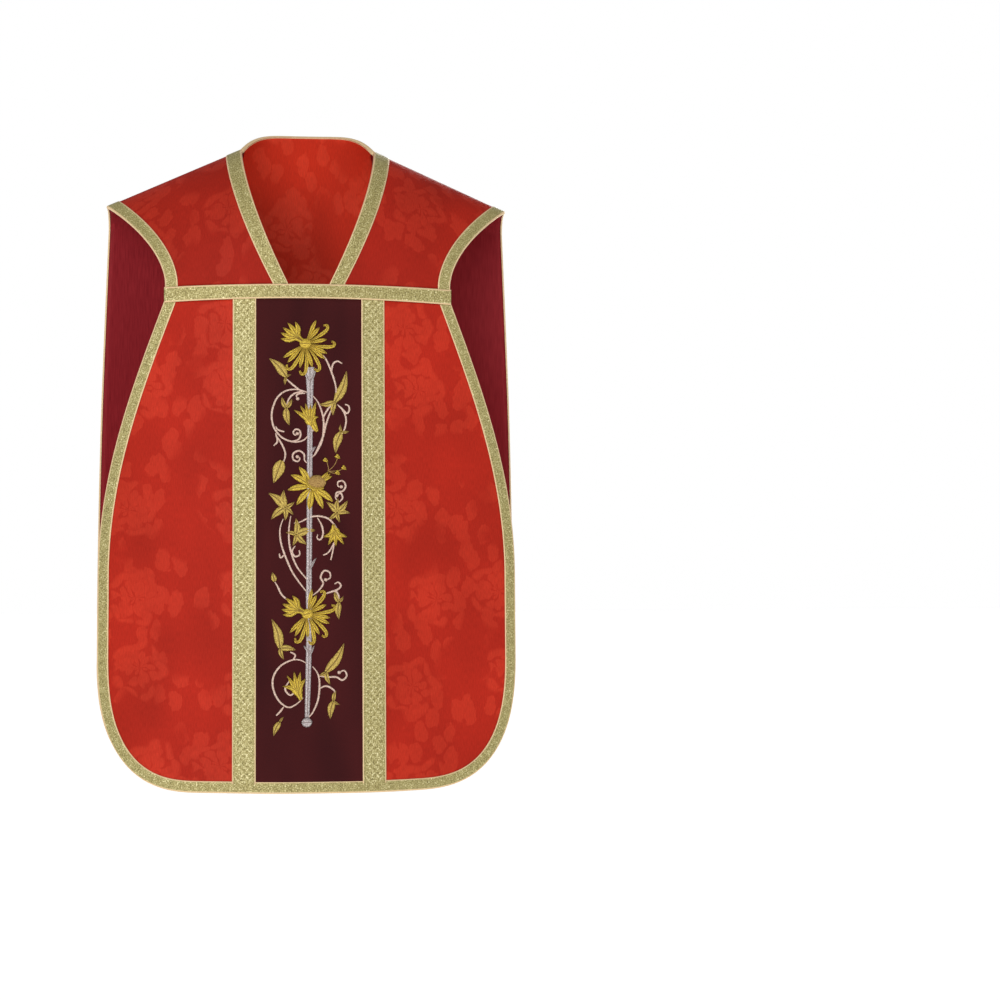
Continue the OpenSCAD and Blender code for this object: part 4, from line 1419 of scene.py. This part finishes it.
SPRIG_TENDRILS = [
    [(-203, -309), (-185, -306), (-165, -309), (-140, -307), (-101, -304)],
    [(-190, -305), (-180, -296), (-176, -290)],
    [(-138, -306), (-132, -298), (-140, -300)],
    [(-140, -306), (-130, -312), (-128, -321), (-132, -324)],
    [(-168, -308), (-178, -318), (-174, -331), (-163, -333), (-157, -326), (-162, -320)],
    [(-176, -326), (-184, -331), (-188, -328)],
    [(-160, -332), (-162, -340)],
    [(-92, -226), (-102, -217), (-116, -219), (-130, -229)],
    [(-112, -218), (-118, -228), (-131, -233), (-133, -245), (-122, -250), (-111, -244), (-113, -235),
     (-120, -237)],
]
SPRIG_SEEDS = [(-233, -219), (-216, -213), (-212, -223), (-232, -238)]
SPRIG_CUP = [(-242, -311), (-240, -322), (-233, -334), (-222, -342), (-212, -326)]


def sprig(side, word):
    """The sprig along one arm of the cross; the data is the left arm's, seen from behind."""
    warp = Warp(on_back, COLUMN_LIFT, flip=side)
    stem, fine, foliage, gold, seeds = (bmesh.new() for _ in range(5))
    stitched(stem, warp, [(-176, -275), (-140, -275.5), (-104, -277)], (3.8, 4.2, 4.2), 2.2)
    seed_flower(gold, seeds, warp.moved((-200, -268), turn=-29, flip=-1, size=0.92))
    loose_seeds(gold, seeds, warp, SPRIG_SEEDS, (-215, -240))
    leaf(foliage, warp, (-152, -226), [(-200, -219), (-126, -211), (-134, -241)])
    lobe(foliage, warp, (-150, -227), (-184, -235), 4.5)
    cup_flower(gold, warp, (-205, -308), SPRIG_CUP, 4.6)
    boss(gold, warp, (-207, -310), 6.5, 7, 2.6)
    for line in SPRIG_TENDRILS:
        stitched(fine, warp, line, TENDRIL_HALVES, 1.4, base=0.2)
    finish_threads("arm_", "shoulders", [
        ("stem_" + word, stem, SILVER, "silver_thread", None, 0.4),
        ("tendrils_" + word, fine, PALE, "pale_thread", None, 0.4),
        ("leaves_" + word, foliage, LEAF_GOLD, "gold_thread", None, 0.4),
        ("seeds_" + word, seeds, BROWN, "gold_thread", None, 0.4),
        ("sprig_" + word, gold, PETAL_GOLD, "gold_thread", "arm_sprig_" + word, 0.5),
    ])


spray()
sprig(1, "right")
sprig(-1, "left")

# ---- Medallion ----

MEDALLION_HALF = (BACK_COLUMN_HALF - 2, ARM_H / 2)
NOTCH = 8
CORD_HALF = 4.35
GROUND_LIFT = COLUMN_LIFT + 0.9


def medallion_outline():
    """The barbed quatrefoil about its middle, once round."""
    w, h = MEDALLION_HALF
    top_middle = h + LOBE_RISE - LOBE_R
    side_middle = w + SIDE_LOBE_RISE - SIDE_LOBE_R
    lobe_foot = h - 3
    top_start = math.atan2(lobe_foot - top_middle, math.sqrt(LOBE_R ** 2 - (lobe_foot - top_middle) ** 2))
    side_reach = math.acos((w - NOTCH - side_middle) / SIDE_LOBE_R)
    side_height = SIDE_LOBE_R * math.sin(side_reach)
    quarter = []
    for i in range(13):
        a = mix(math.pi / 2, top_start, i / 12)
        quarter.append((LOBE_R * math.cos(a), top_middle + LOBE_R * math.sin(a)))
    quarter += [(quarter[-1][0], h), (w, h), (w, side_height + NOTCH), (w - NOTCH, side_height + NOTCH)]
    for i in range(13):
        a = mix(side_reach, 0, i / 12)
        quarter.append((side_middle + SIDE_LOBE_R * math.cos(a), SIDE_LOBE_R * math.sin(a)))
    right = quarter + [(x, -y) for x, y in reversed(quarter[:-1])]
    return right + [(-x, y) for x, y in reversed(right[:-1])]


def inside(outline, x, y):
    """Whether a place is within an outline."""
    hits = 0
    for (ax, ay), (bx, by) in zip(outline, outline[1:]):
        if (ay > y) != (by > y) and x < ax + (y - ay) / (by - ay) * (bx - ax):
            hits += 1
    return hits % 2 == 1


def medallion_ground(outline, warp):
    """The crimson silk, cut to the outline and moulded over the column and the arms."""
    reach_x = MEDALLION_HALF[0] + SIDE_LOBE_RISE + 3
    reach_y = MEDALLION_HALF[1] + LOBE_RISE + 3

    def spot(co):
        return reach_x * 2 * co.x, reach_y * 2 * co.y

    bm = bmesh.new()
    uv = bm.loops.layers.uv.verify()
    bmesh.ops.create_grid(bm, x_segments=90, y_segments=108, size=0.5)
    outside = []
    for face in bm.faces:
        if not inside(outline, *spot(face.calc_center_median())):
            outside.append(face)
        for loop in face.loops:
            x, y = spot(loop.vert.co)
            loop[uv].uv = (x * MM, y * MM)
    bmesh.ops.delete(bm, geom=outside, context="FACES")
    for vert in bm.verts:
        vert.co = on_back_seen(*warp.at(spot(vert.co)), GROUND_LIFT)
    finish_piece("medallion_ground", bm, MEDALLION, "shoulders", ["medallion_ground"], "medallion_silk", 0.8)


def medallion_border(outline, warp):
    """The thick gold cord couched round the medallion; its ends meet in the middle of a straight stretch."""
    bm = bmesh.new()
    start = (mix(outline[0][0], outline[1][0], 0.5), mix(outline[0][1], outline[1][1], 0.5))
    run = [start] + outline[1:-1] + [outline[0], start]
    run.reverse()
    stitched(bm, warp, run, (CORD_HALF, CORD_HALF), 2.2, straight=True, pitch=1.6)
    finish_piece("medallion_border", bm, CORD_GOLD, "shoulders", ["medallion_border"], "gold_thread", 0.6)


CROSS_FLARE = (8.5, 5.0, 4.3, 4.3, 4.3, 4.3, 4.3, 4.3, 5.0, 8.5)
CROSS_BARS = [[(0, 113), (0, 30), (0, -48)], [(-33, 79), (0, 79), (33, 79)]]
CROSSING_HEIGHT = 79
BALLS = [(0, 120), (0, -55), (-40, 79), (40, 79), (25, 4), (-25, 4)]
BRANCH = [(8, -70), (34, -66), (58, -50), (76, -24), (84, 8), (76, 34)]
BRANCH_LEAVES = [
    ((24, -67), (16, -34)), ((36, -64), (32, -22)), ((36, -66), (56, -78)), ((50, -56), (46, -8)),
    ((56, -50), (76, -62)), ((64, -44), (59, 8)), ((72, -32), (93, -38)), ((75, -26), (66, 24)),
    ((82, -6), (101, -8)), ((82, 2), (62, 42)), ((83, 12), (98, 24)), ((76, 34), (68, 54)),
]


def emblem_lines():
    """The emblem's padded lines, each (points, half widths)."""
    lines = [(bar, CROSS_FLARE) for bar in CROSS_BARS]
    for side in (1, -1):
        lines += [([(side * x, y) for x, y in BRANCH], (1.6, 2.2, 2.2, 2.0, 1.4))]
        for start, tip in BRANCH_LEAVES:
            middle = (mix(start[0], tip[0], 0.5), mix(start[1], tip[1], 0.5))
            lines += [([(side * x, y) for x, y in (start, middle, tip)], (1.2, 5.0, 5.6, 3.8, 0.5))]
    lines += [([(0, -85), (0, -101), (0, -118)], (0.8, 6.0, 0.8))]
    lines += [([(x * 24, -95), (x * 15, -106), (x * 5, -119)], (0.8, 5.4, 0.8)) for x in (1, -1)]
    return lines


def cross_rays(bm, warp):
    """Fine rays between the arms of the cross, in turn long and short."""
    for i in range(32):
        angle = 11.25 * i
        if abs(math.sin(math.radians(angle * 2))) > 0.3:
            line = [(x, y + CROSSING_HEIGHT) for x, y in ray(angle, 27 if i % 2 else 22, 12)]
            stitched(bm, warp, line, (0.5, 0.5), 0.5, base=0.15)


def emblem(warp):
    """A cross with flared ends, balls and rays, a leafy branch at each side and three lozenges below."""
    pale, filling, balls, rays = (bmesh.new() for _ in range(4))
    for points, widths in emblem_lines():
        stitched(pale, warp, points, widths, 1.7, base=0.3, pitch=1.5)
        stitched(filling, warp, points, [w * 0.45 for w in widths], 0.5, base=1.75, pitch=1.5)
    for ball in BALLS:
        boss(balls, warp, ball, 4.9, 4.8, 2.6)
    cross_rays(rays, warp)
    finish_threads("", "shoulders", [
        ("medallion_emblem", pale, EMBLEM, "silver_thread", "medallion_emblem", 0.5),
        ("emblem_filling", filling, EMBLEM_GREEN, "silver_thread", None, 0.3),
        ("emblem_balls", balls, GOLD, "gold_thread", None, 0.5),
        ("emblem_rays", rays, COPPER, "gold_thread", None, 0.3),
    ])


quatrefoil = medallion_outline()
medallion_warp = Warp(on_back_seen, COLUMN_LIFT + 0.8, middle=(0, -ARM_Z))
medallion_ground(quatrefoil, medallion_warp)
medallion_border(quatrefoil, medallion_warp)
emblem(medallion_warp)

# ---- Studio ----

FLOOR_Z = -1.5
WORLD_LIGHT = 0.34
# Broad soft lamps before and behind, each with the direction it shines from and its strength
SOFTBOXES = [
    ((-0.4, -0.9, 0.12), 1.95),
    ((0.7, -0.7, 0.05), 0.6),
    ((0.4, 0.9, 0.12), 1.95),
    ((-0.7, 0.7, 0.05), 0.6),
]


def light_world():
    """A white surround that looks full white to the camera and lights the cloth gently."""
    world = bpy.data.worlds.new("studio")
    bpy.context.scene.world = world
    world.use_nodes = True
    tree = world.node_tree
    shade = tree.nodes["Background"]
    shade.inputs["Color"].default_value = (1, 1, 1, 1)
    seen = add(tree, "LightPath").outputs["Is Camera Ray"]
    strength = add(tree, "MapRange", {0: seen, 3: WORLD_LIGHT, 4: 1.0})
    tree.links.new(strength.outputs[0], shade.inputs["Strength"])


def lay_floor():
    bm = bmesh.new()
    bmesh.ops.create_grid(bm, x_segments=1, y_segments=1, size=14)
    mesh = bpy.data.meshes.new("floor")
    bm.to_mesh(mesh)
    bm.free()
    floor = bpy.data.objects.new("floor", mesh)
    floor.location.z = FLOOR_Z
    bpy.context.scene.collection.objects.link(floor)
    material, _, shader = cloth_material("pale_floor", 0.9)
    shader.inputs["Base Color"].default_value = tint("#f7f6f4")
    shader.inputs["Emission Color"].default_value = (1, 1, 1, 1)
    shader.inputs["Emission Strength"].default_value = 0.5
    mesh.materials.append(material)


def hang_lamps():
    for i, (spot, strength) in enumerate(SOFTBOXES):
        lamp = bpy.data.lights.new("softbox_%d" % i, "SUN")
        lamp.angle = math.radians(50)
        lamp.energy = strength
        holder = bpy.data.objects.new(lamp.name, lamp)
        holder.rotation_euler = Vector(spot).to_track_quat("Z", "Y").to_euler()
        bpy.context.scene.collection.objects.link(holder)


def set_camera():
    """The camera stands square before the front, turned so that the garment is left of its middle."""
    camera = bpy.data.cameras.new("camera")
    camera.lens = 77.9
    camera.clip_end = 60
    holder = bpy.data.objects.new("camera", camera)
    holder.location = (-0.05, -3.63, -0.582)
    holder.rotation_euler = (math.pi / 2, 0, math.radians(-5.87))
    bpy.context.scene.collection.objects.link(holder)
    bpy.context.scene.camera = holder


bpy.context.scene.view_settings.view_transform = "Standard"
light_world()
lay_floor()
hang_lamps()
set_camera()
